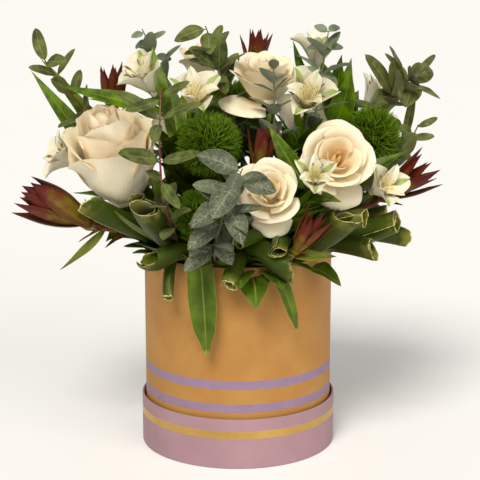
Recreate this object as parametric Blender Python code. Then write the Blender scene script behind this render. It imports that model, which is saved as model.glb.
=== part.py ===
"""A round flower box: a card box that stands in its upturned lid, packed with flower foam,
with roses, alstroemerias, tufted green dianthus, leucadendrons, eucalyptus and rolled leaves.

Lengths in the tables and formulas are millimetres; a mesh is scaled to metres when it is made.
The box's axis is Z, the shown side faces -Y, and z = 0 is the surface that the lid rests on.
"""

import math
import random

import bmesh
import bpy
from mathutils import Matrix, Vector
from mathutils.bvhtree import BVHTree
from mathutils.geometry import interpolate_bezier, intersect_point_line

MM = 0.001
GAP = 0.35
UP = Vector((0, 0, 1))
GOLDEN_TURN = math.radians(137.5)

# The box and its lid.
BOX_RADIUS = 82.5
RIM_HEIGHT = 176
BOARD = 1.8
LID_RADIUS = 86
LID_HEIGHT = 44.3
FILM = 0.6
LINER_HEIGHT = 164
FOAM_HEIGHT = 168
ROUND_SIDES = 24

# Stems: how deep they stand in the foam, how they are drawn, and where they may enter it.
STEM_DEPTH = 42
STEM_SIDES = 4
HOLE_SLACK = 0.8
CELL = 13.5
CELL_REACH = 70
ROOT_PULL = 0.52

# Head: place of its base, axis, radius, lean of the outer petals halfway up and at their edge,
# turn, number of petals, and the ways in which single petals hang down below the head.
ROSES = {
    "rose_left": ((-98, -26, 220), (-0.16, -0.34, 0.93), 42, 0, 6, 20, 8, ()),
    "rose_top": ((24, 4, 302), (0.06, -0.22, 0.97), 33, 10, 40, 200, 8, ((-0.9, -0.7, 0),)),
    "rose_right": ((79, -38, 252), (0.14, -0.88, 0.45), 37, 18, 58, 75, 8, ((0.2, 0, -1),)),
    "rose_small": ((25, -72, 231), (0.02, -0.86, 0.50), 31, 14, 52, 150, 7, ((0.1, 0, -1),)),
    "rose_back_left": ((-30, 42, 317), (-0.12, -0.12, 0.98), 22, 4, 24, 300, 5, ()),
    "rose_rear_left": ((-44, 82, 250), (-0.35, 0.72, 0.60), 35, 14, 50, 40, 5, ()),
    "rose_rear_right": ((58, 72, 260), (0.35, 0.70, 0.62), 36, 14, 50, 250, 5, ()),
}
ROSE_STEM = 2.6

# Fork of each stem, then each flower's base, axis, petal reach and turn, then the leaves that
# are drawn one by one, as root, tip and width; whorls of plain leaves fill the rest.
ALSTROEMERIAS = {
    "alstroemeria_left": (
        (-52, 2, 264),
        [((-71, -11, 310), (-0.40, -0.42, 0.81), 37, 10),
         ((-38, -24, 299), (0.12, -0.64, 0.76), 35, 40)],
        [((-62, -6, 296), (-142, -48, 328), 15), ((-62, -6, 300), (-124, -22, 318), 10),
         ((-60, 0, 300), (-74, 6, 356), 17)],
    ),
    "alstroemeria_right": (
        (54, -4, 264),
        [((58, -24, 299), (0.02, -0.78, 0.62), 40, 0),
         ((68, 32, 326), (0.10, -0.10, 0.99), 34, 25),
         ((112, 46, 288), (0.55, 0.05, 0.83), 33, 50)],
        [((62, 20, 310), (47, 20, 355), 9), ((90, 20, 272), (92, 44, 338), 19),
         ((100, 24, 276), (112, 50, 336), 17)],
    ),
    "alstroemeria_front": (
        (48, -50, 206),
        [((63, -84, 247), (-0.02, -0.84, 0.54), 28, 30),
         ((112, -42, 232), (0.55, -0.72, 0.42), 32, 5)],
        [((60, -72, 236), (54, -108, 294), 17), ((88, -46, 218), (149, -66, 243), 18),
         ((56, -66, 224), (80, -104, 240), 13)],
    ),
    "alstroemeria_outer": (
        (-94, 16, 218),
        [((-135, -4, 249), (-0.85, -0.25, 0.46), 33, 35)],
        [((-100, 12, 232), (-182, -6, 331), 16), ((-96, 14, 222), (-120, 66, 250), 16)],
    ),
}
ALSTROEMERIA_STEM = 2.4

# Centre of the tuft, radius, number of spikes.
DIANTHUS = {
    "dianthus_middle": ((-24, -48, 274), 30, 96),
    "dianthus_low": ((-34, -78, 221), 22, 72),
    "dianthus_right": ((117, 6, 274), 28, 88),
    "dianthus_rear": ((4, 84, 288), 28, 76),
}

# Base of the head, axis, length, width, turn, and leaves as root, tip and width.
LEUCADENDRONS = {
    "leucadendron_left": (
        (-124, -45, 205), (-0.88, -0.06, 0.46), 72, 32, 0, [((-112, -42, 198), (-160, -60, 186), 8)],
    ),
    "leucadendron_back_left": ((-110, 14, 290), (0.02, 0.05, 0.99), 50, 26, 30, []),
    "leucadendron_middle": ((17, -62, 250), (0.14, 0.16, 0.97), 48, 22, 12, []),
    "leucadendron_front": (
        (45, -99, 191), (0.54, -0.16, 0.83), 50, 18, 50, [((44, -97, 186), (74, -118, 192), 11)],
    ),
    "leucadendron_right": (
        (125, -4, 219), (0.80, -0.14, 0.58), 60, 28, 20, [((112, -4, 210), (148, 20, 238), 9)],
    ),
    "leucadendron_rear": ((14, 56, 320), (0.08, 0.20, 0.97), 46, 26, 0, []),
}
LEUCADENDRON_STEM = 2.2

# Sprays whose leaves are drawn one by one: the stem as four control points, then each leaf's
# root, tip and width.
DRAWN_SPRAYS = {
    "eucalyptus_willow": (
        [(-40, -46, 168), (-56, -84, 212), (-66, -130, 236), (-62, -82, 326)],
        [((-60, -96, 321), (-88, -110, 314), 10), ((-59, -108, 307), (-91, -100, 331), 12),
         ((-57, -96, 323), (-40, -90, 333), 8), ((-57, -108, 307), (-30, -110, 318), 8),
         ((-59, -110, 305), (-65, -124, 291), 10), ((-55, -122, 271), (-91, -128, 282), 16),
         ((-55, -122, 270), (-32, -126, 282), 11), ((-52, -118, 255), (-72, -112, 263), 9),
         ((-51, -118, 253), (-47, -130, 239), 10)],
    ),
    "eucalyptus_left": (
        [(-60, 10, 168), (-100, 6, 270), (-136, -14, 298), (-161, -38, 343)],
        [((-160, -38, 342), (-168, -38, 371), 11), ((-161, -38, 341), (-143, -50, 345), 14),
         ((-151, -34, 328), (-138, -28, 353), 6), ((-156, -33, 327), (-174, -42, 341), 8),
         ((-145, -28, 314), (-157, -40, 334), 13), ((-141, -24, 310), (-134, -24, 334), 9)],
    ),
    "eucalyptus_crown": (
        [(-14, 30, 168), (-10, 12, 270), (-6, 0, 318), (-28, 0, 369)],
        [((-28, 0, 366), (-54, -8, 363), 14), ((-27, 0, 364), (-24, -16, 348), 15),
         ((-22, 0, 352), (-14, 2, 370), 8), ((-14, 0, 330), (-19, -12, 362), 14),
         ((-13, -2, 332), (-38, -22, 353), 15), ((-19, 0, 349), (-48, 10, 346), 8),
         ((-14, -2, 328), (-10, -20, 312), 12), ((-13, 0, 323), (0, 10, 346), 13)],
    ),
    "eucalyptus_right": (
        [(62, 34, 168), (96, 40, 250), (112, 26, 318), (150, 20, 323)],
        [((112, 20, 319), (109, 16, 343), 13), ((117, 20, 322), (136, 8, 337), 14),
         ((146, 20, 322), (130, 26, 344), 6), ((149, 20, 322), (146, 6, 300), 21),
         ((152, 20, 322), (173, 28, 343), 7), ((120, 18, 312), (114, 0, 296), 10),
         ((112, 22, 300), (100, 8, 290), 10), ((110, 26, 290), (128, 12, 276), 9)],
    ),
    "eucalyptus_edge": (
        [(72, 8, 168), (112, 14, 240), (144, 16, 244), (159, 20, 281)],
        [((157, 20, 279), (176, 22, 288), 7), ((155, 20, 268), (172, 12, 273), 8),
         ((155, 20, 267), (143, 12, 282), 10), ((150, 20, 252), (171, 20, 305), 8)],
    ),
    "eucalyptus_blue_right": (
        [(40, 16, 168), (60, 14, 260), (68, 12, 320), (77, 15, 364)],
        [((77, 15, 362), (66, 10, 369), 8), ((77, 15, 362), (89, 20, 368), 8),
         ((76, 15, 349), (61, 18, 354), 8), ((76, 15, 349), (91, 10, 349), 8),
         ((71, 14, 330), (53, 0, 334), 10), ((71, 14, 326), (86, -2, 318), 12)],
    ),
    "eucalyptus_blue_left": (
        [(-34, 34, 168), (-50, 40, 270), (-62, 30, 318), (-84, 30, 364)],
        [((-82, 30, 361), (-93, 24, 358), 7), ((-78, 30, 355), (-92, 38, 347), 6),
         ((-78, 30, 355), (-64, 24, 363), 6), ((-72, 30, 344), (-84, 14, 343), 12),
         ((-70, 30, 339), (-88, 38, 330), 7), ((-70, 30, 340), (-58, 42, 338), 9)],
    ),
    "eucalyptus_frosted": (
        [(-16, -60, 168), (-20, -108, 200), (-14, -130, 230), (4, -118, 266)],
        [((0, -131, 266), (-30, -128, 280), 20), ((-1, -131, 264), (30, -128, 250), 19),
         ((-7, -134, 262), (-20, -142, 232), 22), ((-11, -133, 255), (-35, -126, 256), 12),
         ((-17, -130, 243), (-37, -137, 224), 19), ((-17, -130, 237), (3, -140, 211), 18),
         ((-24, -121, 220), (-40, -129, 204), 16), ((-24, -110, 205), (0, -120, 195), 15),
         ((-26, -106, 196), (-43, -119, 184), 14)],
    ),
}

# Sprays with leaves in pairs: the stem, pairs of leaves, leaf length and width, share of the
# stem that is bare, how much smaller the last leaves are, turn of the first pair and the next.
PAIRED_SPRAYS = {
    "eucalyptus_blue_middle": (
        [(10, -34, 168), (26, -50, 240), (24, -52, 290), (27, -34, 338)],
        4, 24, 13, 0.60, 0.3, 0, 90,
    ),
    "eucalyptus_rear": (
        [(-8, 62, 168), (-10, 110, 220), (-10, 134, 260), (-20, 138, 320)],
        4, 36, 17, 0.45, 0.2, 20, 80,
    ),
}
EUCALYPTUS_STEM = 1.5

# Large leaves in bunches: where the bunch's stem stands, then each leaf's mouth or tip, how far
# it rises on the way, its half width, and whether it is rolled up, rolled up and lying along
# the rim, rolled up and hanging over it, flat, or flat and hanging.
ROLL, ALONG, DROP, BLADE, HANG = "roll", "along", "drop", "blade", "hang"
BUNCHES = {
    "rolled_leaves_centre": (
        (4, -68),
        [((54, -92, 124), 26, 6, HANG), ((52, -104, 179), 20, 12, ALONG),
         ((-7, -109, 165), 20, 6.5, DROP)],
    ),
    "rolled_leaves_front_left": (
        (-48, -46),
        [((-78, -104, 234), 14, 10.5, ROLL), ((-102, -72, 222), 14, 10, BLADE),
         ((-70, -77, 149), 24, 5, DROP)],
    ),
    "rolled_leaves_front": (
        (-32, -62),
        [((-26, -96, 104), 25, 13, HANG), ((-75, -90, 188), 16, 10, ALONG)],
    ),
    "rolled_leaves_left": (
        (-58, -28),
        [((-130, -60, 230), 10, 9, ROLL), ((-84, -86, 238), 16, 7.5, ROLL),
         ((-78, -56, 258), 14, 11, BLADE)],
    ),
    "rolled_leaves_front_right": (
        (44, -50),
        [((80, -104, 224), 10, 11, ROLL), ((108, -84, 220), 10, 10, ROLL),
         ((8, -120, 190), 8, 7, ROLL), ((4, -116, 205), 8, 7, ROLL)],
    ),
    "rolled_leaves_right": (
        (62, -30),
        [((116, -76, 188), 10, 9, ROLL), ((138, -52, 210), 10, 10, ROLL),
         ((145, -38, 190), 10, 9.5, ROLL)],
    ),
    "rolled_leaves_side_right": (
        (52, 44),
        [((138, 6, 200), 12, 9, ROLL), ((130, 42, 194), 12, 9, ROLL),
         ((104, 80, 204), 12, 9.5, ROLL)],
    ),
    "rolled_leaves_rear": (
        (6, 66),
        [((60, 112, 192), 12, 9.5, ROLL), ((12, 126, 202), 12, 9, ROLL),
         ((-40, 118, 190), 12, 9.5, ROLL)],
    ),
    "rolled_leaves_side_left": (
        (-64, 22),
        [((-88, 98, 200), 12, 9.5, ROLL), ((-126, 54, 194), 12, 9.5, ROLL),
         ((-138, 10, 196), 12, 9, ROLL)],
    ),
}
BUNCH_STEM = 3.4
BUNCH_HEIGHT = 7

COLOURS = {
    "mustard_card": (0.62, 0.36, 0.11, 1),
    "lilac_card": (0.50, 0.33, 0.42, 1),
    "clear_film": (0.75, 0.78, 0.78, 1),
    "flower_foam": (0.03, 0.12, 0.05, 1),
    "cream_petal": (0.85, 0.70, 0.48, 1),
    "white_petal": (0.82, 0.78, 0.62, 1),
    "green_stem": (0.12, 0.20, 0.03, 1),
    "tufted_green": (0.07, 0.16, 0.01, 1),
    "burgundy_bract": (0.16, 0.03, 0.02, 1),
    "eucalyptus_green": (0.13, 0.20, 0.09, 1),
    "frosted_green": (0.20, 0.26, 0.22, 1),
    "rolled_green": (0.09, 0.14, 0.03, 1),
}
ROUGHNESS = 0.6


# Meshes are plain lists of points and of faces until a node is made from them.
def loft(rings):
    """A closed skin through rings of points; a ring of one point is a tip."""
    points, faces, starts = [], [], []
    for ring in rings:
        starts.append(len(points))
        points.extend(ring)
    for here, there, a, b in zip(rings, rings[1:], starts, starts[1:]):
        count = max(len(here), len(there))
        for k in range(count):
            n = (k + 1) % count
            if len(here) == 1:
                faces.append((a, b + n, b + k))
            elif len(there) == 1:
                faces.append((a + k, a + n, b))
            else:
                faces.append((a + k, a + n, b + n))
                faces.append((a + k, b + n, b + k))
    for ring, start, flip in ((rings[0], starts[0], True), (rings[-1], starts[-1], False)):
        for k in range(1, len(ring) - 1):
            corner = (start, start + k, start + k + 1)
            faces.append(corner[::-1] if flip else corner)
    return points, faces


def blade(rows, thickness):
    """A thin closed leaf from rows of points: both faces share the outline and split alike."""
    high, wide = len(rows) - 1, len(rows[0]) - 1
    points, faces, upper, lower = [], [], {}, {}
    for i, row in enumerate(rows):
        pointed = (row[0] - row[-1]).length < 1e-6
        for j, point in enumerate(row):
            if pointed and j:
                upper[i, j], lower[i, j] = upper[i, 0], lower[i, 0]
            elif pointed or i in (0, high) or j in (0, wide):
                upper[i, j] = lower[i, j] = len(points)
                points.append(point)
            else:
                lengthwise = rows[i + 1][j] - rows[i - 1][j]
                crosswise = row[j + 1] - row[j - 1]
                lift = lengthwise.cross(crosswise).normalized() * thickness / 2
                upper[i, j], lower[i, j] = len(points), len(points) + 1
                points += [point + lift, point - lift]
    for i in range(high):
        for j in range(wide):
            a, b, c, d = (i, j), (i, j + 1), (i + 1, j + 1), (i + 1, j)
            if (2 * i < high) == (2 * j < wide):
                corners = [(a, b, c), (a, c, d)]
            else:
                corners = [(a, b, d), (b, c, d)]
            for corner in corners:
                faces.append(tuple(lower[k] for k in corner))
                faces.append(tuple(upper[k] for k in reversed(corner)))
    return points, [face for face in faces if len(set(face)) == 3]


def along(path):
    """Direction, side and lift at each point of a path, turned as little as possible."""
    frames, side = [], None
    for k, point in enumerate(path):
        ahead = (path[min(k + 1, len(path) - 1)] - path[max(k - 1, 0)]).normalized()
        if side is None:
            side = ahead.cross(Vector((0.3, 1, 0.1))).normalized()
        side = (side - ahead * side.dot(ahead)).normalized()
        frames.append((ahead, side, ahead.cross(side)))
    return frames


def tube(path, radii, sides=STEM_SIDES):
    rings = []
    for point, radius, (_, side, lift) in zip(path, radii, along(path)):
        turns = [2 * math.pi * k / sides for k in range(sides)]
        rings.append([point + radius * (math.cos(a) * side + math.sin(a) * lift) for a in turns])
    return loft(rings)


def even_tube(path, radius, sides=STEM_SIDES):
    return tube(path, [radius] * len(path), sides)


def bezier(controls, count):
    return interpolate_bezier(*[Vector(c) for c in controls], count)


def on_path(path, share):
    """The point at a share of a path's points, and the direction there."""
    place = share * (len(path) - 1)
    k = min(int(place), len(path) - 2)
    return path[k].lerp(path[k + 1], place - k), (path[k + 1] - path[k]).normalized()


def snapped(paths, drawn):
    """The point of some paths that is nearest to a drawn one."""
    found = []
    for path in paths:
        for a, b in zip(path, path[1:]):
            _, share = intersect_point_line(drawn, a, b)
            found.append(a.lerp(b, min(1, max(0, share))))
    return min(found, key=lambda p: (p - Vector(drawn)).length)


def lathe(profile, sides):
    """A closed body round Z from its radii and heights; a last radius of 0 is a tip."""
    rings = []
    for radius, height in profile:
        turns = [2 * math.pi * k / sides for k in range(sides if radius else 1)]
        rings.append([Vector((radius * math.cos(a), radius * math.sin(a), height)) for a in turns])
    return loft(rings)


def axes(direction, turn):
    """Turns local shapes, which grow along Z, to a direction in the part."""
    forward = Vector(direction).normalized()
    return forward.to_track_quat("Z", "Y").to_matrix() @ Matrix.Rotation(math.radians(turn), 3, "Z")


def placed(mesh, base, direction, turn):
    spin, origin = axes(direction, turn), Vector(base)
    return [spin @ p + origin for p in mesh[0]], mesh[1]


def turned(rows, angle):
    turn = Matrix.Rotation(angle, 3, "Z")
    return [[turn @ p for p in row] for row in rows]


class Space:
    """What already stands in the arrangement, so that each new piece is bent clear of it."""

    def __init__(self):
        self.taken = []

    def add(self, mesh, owner):
        self.taken.append((*self.bounded(mesh), owner))

    def bounded(self, mesh):
        points, faces = mesh
        low = [min(p[k] for p in points) for k in range(3)]
        high = [max(p[k] for p in points) for k in range(3)]
        return BVHTree.FromPolygons(points, faces), low, high

    def met(self, mesh, friends=()):
        """The owners of what a mesh would touch, one by one."""
        tree, low, high = self.bounded(mesh)
        for other, other_low, other_high, owner in self.taken:
            if owner in friends:
                continue
            apart = any(low[k] > other_high[k] or high[k] < other_low[k] for k in range(3))
            if not apart and tree.overlap(other):
                yield owner

    def clear(self, mesh, friends=()):
        return next(self.met(mesh, friends), None) is None


space = Space()


# Leaves: an outline over a midrib, folded a little and drooping along its length.
LEAF_THICKNESS = 1.2


def bends():
    """Leans to try, the least first: pitch and yaw in radians, and scale."""
    for scale in (1, 0.85, 0.7, 0.55):
        yield 0, 0, scale
        for lean in (10, 20, 32, 46, 62):
            for k in range(8):
                way = k * math.pi / 4
                yield math.radians(lean) * math.cos(way), math.radians(lean) * math.sin(way), scale


def bent(direction, normal, pitch, yaw):
    """A direction and its normal after a lean up or down and a swing to the side."""
    side = direction.cross(normal)
    turn = Matrix.Rotation(yaw, 3, normal) @ Matrix.Rotation(pitch, 3, side)
    return turn @ direction, turn @ normal


def leaf_rows(root, direction, normal, length, width, stations, droop=0.12, fold=0.16):
    side, rows = direction.cross(normal), []
    for k in range(stations + 1):
        t = k / stations
        middle = root + direction * length * t - normal * length * droop * t * t
        half = width / 2 * math.sin(math.pi * t ** 0.8) ** 0.8 if 0 < t < 1 else 0
        edge = normal * half * fold * 2
        rows.append([middle - side * half + edge, middle.copy(), middle + side * half + edge])
    return rows


def settled_leaf(root, direction, normal, length, width, stem, stations=3):
    """The leaf at the first lean that is clear of all that stands, or None."""
    own = stem + "_leaf"
    for pitch, yaw, scale in bends():
        ahead, lift = bent(direction, normal, pitch, yaw)
        long, wide = length * scale, width * scale
        room = leaf_rows(root, ahead, lift, long, wide + 1.5, stations)
        beyond = leaf_rows(root + ahead * 2.4, ahead, lift, long, wide + 1.5, stations)
        tall = LEAF_THICKNESS + 2.4 * GAP
        if space.clear(blade(room, tall), (stem, own)) and space.clear(blade(beyond, tall)):
            made = blade(leaf_rows(root, ahead, lift, long, wide, stations), LEAF_THICKNESS)
            space.add(made, own)
            return made
    print("left out a leaf of", stem)
    return None


def settled_leaves(paths, drawn, stem):
    """Leaves that are drawn as root, tip and width, from the nearest point of the stems."""
    made = []
    for root, tip, width in drawn:
        start = snapped(paths, root)
        reach = Vector(tip) - start
        ahead = reach.normalized()
        lift = Vector((0, -0.8 if start.y < 40 else 0.8, 0.6))
        lift = (lift - ahead * ahead.dot(lift)).normalized()
        stations = 3 if reach.length > 30 else 2
        leaf = settled_leaf(start, ahead, lift, reach.length, width, stem, stations)
        if leaf:
            made.append(leaf)
    return made


# Stems stand in the foam at the free place nearest to where they are drawn.
def cells():
    count = int(CELL_REACH / CELL) + 1
    for row in range(-count, count + 1):
        for column in range(-count, count + 1):
            x = (column + 0.5 * (row % 2)) * CELL
            y = row * CELL * math.sqrt(3) / 2
            if math.hypot(x, y) <= CELL_REACH:
                yield Vector((x, y, FOAM_HEIGHT))


free_cells = list(cells())
holes = []


def cells_near(x, y):
    return sorted(free_cells, key=lambda cell: math.hypot(cell.x - x, cell.y - y))


def rooted(cell, path, radius, owner):
    """Takes a place in the foam; the stem's full path starts at its foot down there."""
    free_cells.remove(cell)
    full = [cell - UP * STEM_DEPTH, *path]
    holes.append((full[:2], radius + HOLE_SLACK))
    space.add(even_tube(full, radius), owner)
    return full


def stem_path(cell, end, arrival):
    """From the foam's top straight up and in a curve to the end, which it meets squarely."""
    reach = (end - cell).length
    last = end - arrival * 4
    return [*bezier([cell, cell + UP * reach * 0.4, last - arrival * reach * 0.3, last], 4), end]


def settled_stem(end, direction, radius, owner, friends=()):
    end, arrival = Vector(end), Vector(direction).normalized()
    drawn = Vector((end.x, end.y, 0)) * ROOT_PULL
    for cell in cells_near(drawn.x, drawn.y):
        path = stem_path(cell, end, arrival)
        if space.clear(even_tube(path, radius + GAP), (*friends, "foam")):
            return rooted(cell, path, radius, owner)
    path = stem_path(Vector((drawn.x, drawn.y, FOAM_HEIGHT)), end, arrival)
    met = set(space.met(even_tube(path, radius + GAP), (*friends, "foam")))
    raise ValueError(f"the stem of {owner} meets {sorted(met)}")


# Rose heads: petals are cups inside one another, so that no two of them meet.
PROFILE_STEPS = 12


def petal_lean(share, s, middle, opening):
    """Lean from the axis at s along a petal; share is 0 at the heart and 1 outside."""
    first, second, last = 10 + 68 * share, 2 + middle * share, -24 + (opening + 24) * share
    return math.radians(first * (1 - s) ** 2 + 2 * second * s * (1 - s) + last * s * s)


def petal_profile(share, radius, middle, opening):
    """Distances from the axis and heights along a petal, from its root to its edge."""
    places = [(k + 0.5) / PROFILE_STEPS for k in range(PROFILE_STEPS)]
    reach = sum(math.sin(petal_lean(1, s, middle, opening)) for s in places) / PROFILE_STEPS
    length = 0.92 * radius / reach * (0.80 + 0.20 * min(1, share))
    r, z = radius * (0.03 + 0.04 * share), radius * (0.03 + 0.12 * max(0, 1 - share))
    profile = [(r, z)]
    for s in places:
        lean = petal_lean(share, s, middle, opening)
        r += math.sin(lean) * length / PROFILE_STEPS
        z += math.cos(lean) * length / PROFILE_STEPS
        profile.append((r, z))
    return profile


def petal_rows(profile, half_angle, stations, columns, corner=0.2):
    rows = []
    for i in range(stations + 1):
        row = []
        for j in range(columns + 1):
            v = 2 * j / columns - 1
            place = i / stations * (1 - corner * v ** 4) * PROFILE_STEPS
            low = min(int(place), PROFILE_STEPS - 1)
            (r0, z0), (r1, z1) = profile[low], profile[low + 1]
            r, z = r0 + (r1 - r0) * (place - low), z0 + (z1 - z0) * (place - low)
            spread = half_angle * v * (0.3 + 0.7 * min(1, 2 * i / stations))
            row.append(Vector((r * math.cos(spread), r * math.sin(spread), z)))
        rows.append(row)
    return rows


def rose_head(row):
    base, direction, radius, middle, opening, turn, petals, hanging = row
    core = [(0.10, -0.01), (0.30, 0.08), (0.26, 0.20), (0.10, 0.34), (0, 0.40)]
    made = [lathe([(w * radius, h * radius) for w, h in core], 5)]
    for k in range(petals):
        share = 1 - k / (petals - 0.8)
        profile = petal_profile(share, radius, middle, opening)
        stations, columns = (3, 3) if share > 0.7 else (2, 3) if share > 0.15 else (2, 2)
        rows = petal_rows(profile, math.radians(92 - 40 * share), stations, columns)
        made.append(blade(turned(rows, GOLDEN_TURN * k), 1.3))
    back = axes(direction, turn).inverted()
    for way in hanging:
        local = back @ Vector(way)
        profile = petal_profile(1.22, radius, middle + 22, opening + 14)
        rows = petal_rows(profile, math.radians(36), 3, 3, 0.3)
        made.append(blade(turned(rows, math.atan2(local.y, local.x)), 1.3))
    return [placed(mesh, base, direction, turn) for mesh in made]


def sepals(base, direction, turn, radius):
    made, frame = [], axes(direction, turn)
    for k in range(5):
        out = Matrix.Rotation(2 * math.pi * k / 5, 3, "Z") @ Vector((1, 0, 0))
        ahead = frame @ (out * 0.90 - UP * 0.44)
        lift = frame @ (out * 0.44 + UP * 0.90)
        root = Vector(base) + frame @ (out * 1.6 - UP * 3.4)
        made.append(blade(leaf_rows(root, ahead, lift, radius * 0.5, radius * 0.18, 2, 0.3), 1.4))
    return made


# Alstroemeria flowers: a funnel of three broad petals outside and three narrow ones inside.
def funnel_petal(reach, broad):
    stations, columns = (3 if broad else 2), 2
    half_width = reach * (0.34 if broad else 0.19)
    first, last = (24, 72) if broad else (9, 52)
    r, z, rows = (2.0 if broad else 1.2), 2.0, []
    for i in range(stations + 1):
        t = i / stations
        half = half_width * (0.08 + 0.92 * math.sin(math.pi * min(t * 0.86, 1)) ** 0.8)
        if i == stations:
            half *= 0.42
        lean = math.radians(first + (last - first) * t)
        rows.append([
            Vector((r - v * v * half * 0.3 * math.cos(lean), v * half,
                    z + v * v * half * 0.3 * math.sin(lean)))
            for v in [2 * j / columns - 1 for j in range(columns + 1)]
        ])
        lean = math.radians(first + (last - first) * (t + 0.5 / stations))
        r += math.sin(lean) * reach * 1.12 / stations
        z += math.cos(lean) * reach * 1.12 / stations
    return rows


def alstroemeria_head(base, direction, reach, turn, seed):
    rng = random.Random(seed)
    made = [lathe([(2.6, 0), (3.6, reach * 0.14), (3.4, reach * 0.26), (1.4, reach * 0.36)], 5)]
    for k in range(6):
        rows = funnel_petal(reach * rng.uniform(0.94, 1.0), k % 2 == 0)
        angle = math.pi * k / 3 + rng.uniform(-0.06, 0.06)
        made.append(blade(turned(rows, angle), 1.2))
    return [placed(mesh, base, direction, turn) for mesh in made]


# Dianthus tufts: points in a seed-head spiral make a ball, and each face is raised to a spike.
def tuft(centre, radius, spikes, seed):
    rng, ball, count = random.Random(seed), bmesh.new(), spikes // 2 + 2
    for k in range(count):
        height = 1 - 2 * (k + 0.5) / count
        flat, angle = math.sqrt(1 - height * height), GOLDEN_TURN * k
        ball.verts.new(radius * 0.72 * Vector(
            (flat * math.cos(angle), flat * math.sin(angle), height)))
    bmesh.ops.convex_hull(ball, input=ball.verts[:])
    raised = bmesh.ops.poke(ball, faces=ball.faces[:])["verts"]
    for vertex in raised:
        lean = Vector([rng.uniform(-1, 1) for _ in range(3)]) * 0.10
        vertex.co = (vertex.co.normalized() + lean).normalized() * radius * rng.uniform(0.92, 1.0)
    ball.verts.index_update()
    made = (
        [v.co + Vector(centre) for v in ball.verts],
        [tuple(v.index for v in f.verts) for f in ball.faces],
    )
    ball.free()
    return made


# Leucadendron heads: a cone in two whorls of pointed bracts, one inside the other.
WHORLS = ((0.1, 3), (1.0, 5))


def bract_rows(length, width, share, count):
    """A bract that is cupped round the cone; share is 0 in the heart and 1 outside."""
    stations, rows = (3 if share == 1 else 2), []
    r, z = width * 0.05, length * 0.05
    reach = length * (0.90 + 0.05 * share)
    first, last = 8 + 32 * share, -3 + 7 * share
    for i in range(stations + 1):
        t = i / stations
        half = width * (0.20 + 0.12 * share) * math.sin(math.pi * (0.15 + 0.8 * t)) ** 0.8
        beside = math.tan(math.pi / count)
        half = min(half, (beside * r - 0.5) / (1 + 0.3 * beside)) if i < stations else 0
        half = max(half, 0)
        rows.append([Vector((r - 0.3 * half * abs(v), half * v, z)) for v in (-1, 0, 1)])
        lean = math.radians(first + (last - first) * min(1, 1.5 * (t + 0.4 / stations)))
        r += math.sin(lean) * reach / stations
        z += math.cos(lean) * reach / stations
    return rows


def leucadendron_head(base, direction, length, width, turn):
    core = [(0.09, 0), (0.21, 0.06), (0.22, 0.14), (0, 0.32)]
    made = [lathe([(w * width, h * length) for w, h in core], 5)]
    for share, count in WHORLS:
        for k in range(count):
            angle = 2 * math.pi * k / count + share * 2.1
            made.append(blade(turned(bract_rows(length, width, share, count), angle), 1.3))
    return [placed(mesh, base, direction, turn) for mesh in made]


# Large leaves: a roll is one skin that runs out, over its ragged cut mouth and back inside.
ROLL_WALL = 1.0


def roll_mesh(path, half_width, seed=0, grow=0.0):
    rng, outer, inner, sides = random.Random(seed), [], [], 5
    ragged = [0 if grow else rng.uniform(-1.6, 1.6) for _ in range(sides)]
    for k, (point, (ahead, side, lift)) in enumerate(zip(path, along(path))):
        t = k / (len(path) - 1)
        wide = half_width * (0.40 + 0.60 * math.sin(math.pi * (0.10 + 0.52 * t))) + grow
        ring, inside = [], []
        for n in range(sides):
            a = 2 * math.pi * n / sides
            out = math.cos(a) * side + 0.66 * math.sin(a) * lift
            cut = ahead * ragged[n] if t == 1 else Vector()
            ring.append(point + wide * out + cut)
            inside.append(point + (wide - ROLL_WALL * 1.2) * out + cut)
        outer.append(ring)
        if t > 0.6:
            inner.append(inside)
    return loft(outer) if grow else loft(outer + inner[::-1])


def flat_blade(path, half_width, seed=0, grow=0.0):
    rows, count = [], len(path) - 1
    late = 3 if path[-1].z < RIM_HEIGHT - 20 else 1
    for k, (point, (ahead, _, _)) in enumerate(zip(path, along(path))):
        t = (k / count) ** late
        outward = Vector((point.x, point.y, 0)).normalized()
        towards = UP if abs(ahead.z) < 0.8 else outward * (-1 if ahead.z > 0 else 1)
        side = ahead.cross(towards).normalized()
        lift = side.cross(ahead)
        half = (half_width + grow) * (0.30 + 0.70 * math.sin(math.pi * min(1, t * 0.9 + 0.06)))
        if k == count:
            half *= 0.25
        rows.append([point - side * half, point - lift * half * 0.22, point + side * half])
    return blade(rows, 1.4 + 2 * grow)


def large_leaf_ways(start, mouth, rise, kind):
    """A large leaf's ways to its mouth: as drawn first, then swung, raised and pushed out."""
    outward = Vector((mouth.x, mouth.y, 0)).normalized()
    aside = outward.cross(UP)
    for push in (0, 5, 10, 16):
        for lift in (0, 6, -6, 12, 20):
            for swing in (0, -5, 5, -10, 10, -16, 16, -24, 24):
                for bow in (0, 8, 18):
                    end = mouth + outward * push + aside * swing + UP * lift
                    first = start + UP * (rise + bow) + outward * 4
                    if kind in (HANG, DROP):
                        beside = start.lerp(end, 0.5)
                        second = beside * (BOX_RADIUS + 9) / math.hypot(beside.x, beside.y)
                        second.z = RIM_HEIGHT + 12 + bow
                    elif kind == ALONG:
                        first += Vector((start.x, start.y, 0)).normalized() * 24
                        beside = start.lerp(end, 0.55)
                        second = beside * (BOX_RADIUS + 26) / math.hypot(beside.x, beside.y)
                        second.z = RIM_HEIGHT
                    else:
                        second = start.lerp(end, 0.58)
                        second.z = RIM_HEIGHT + 6 + 0.25 * max(0, end.z - RIM_HEIGHT) + bow
                    yield bezier([start, first, second, end], 5)


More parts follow.
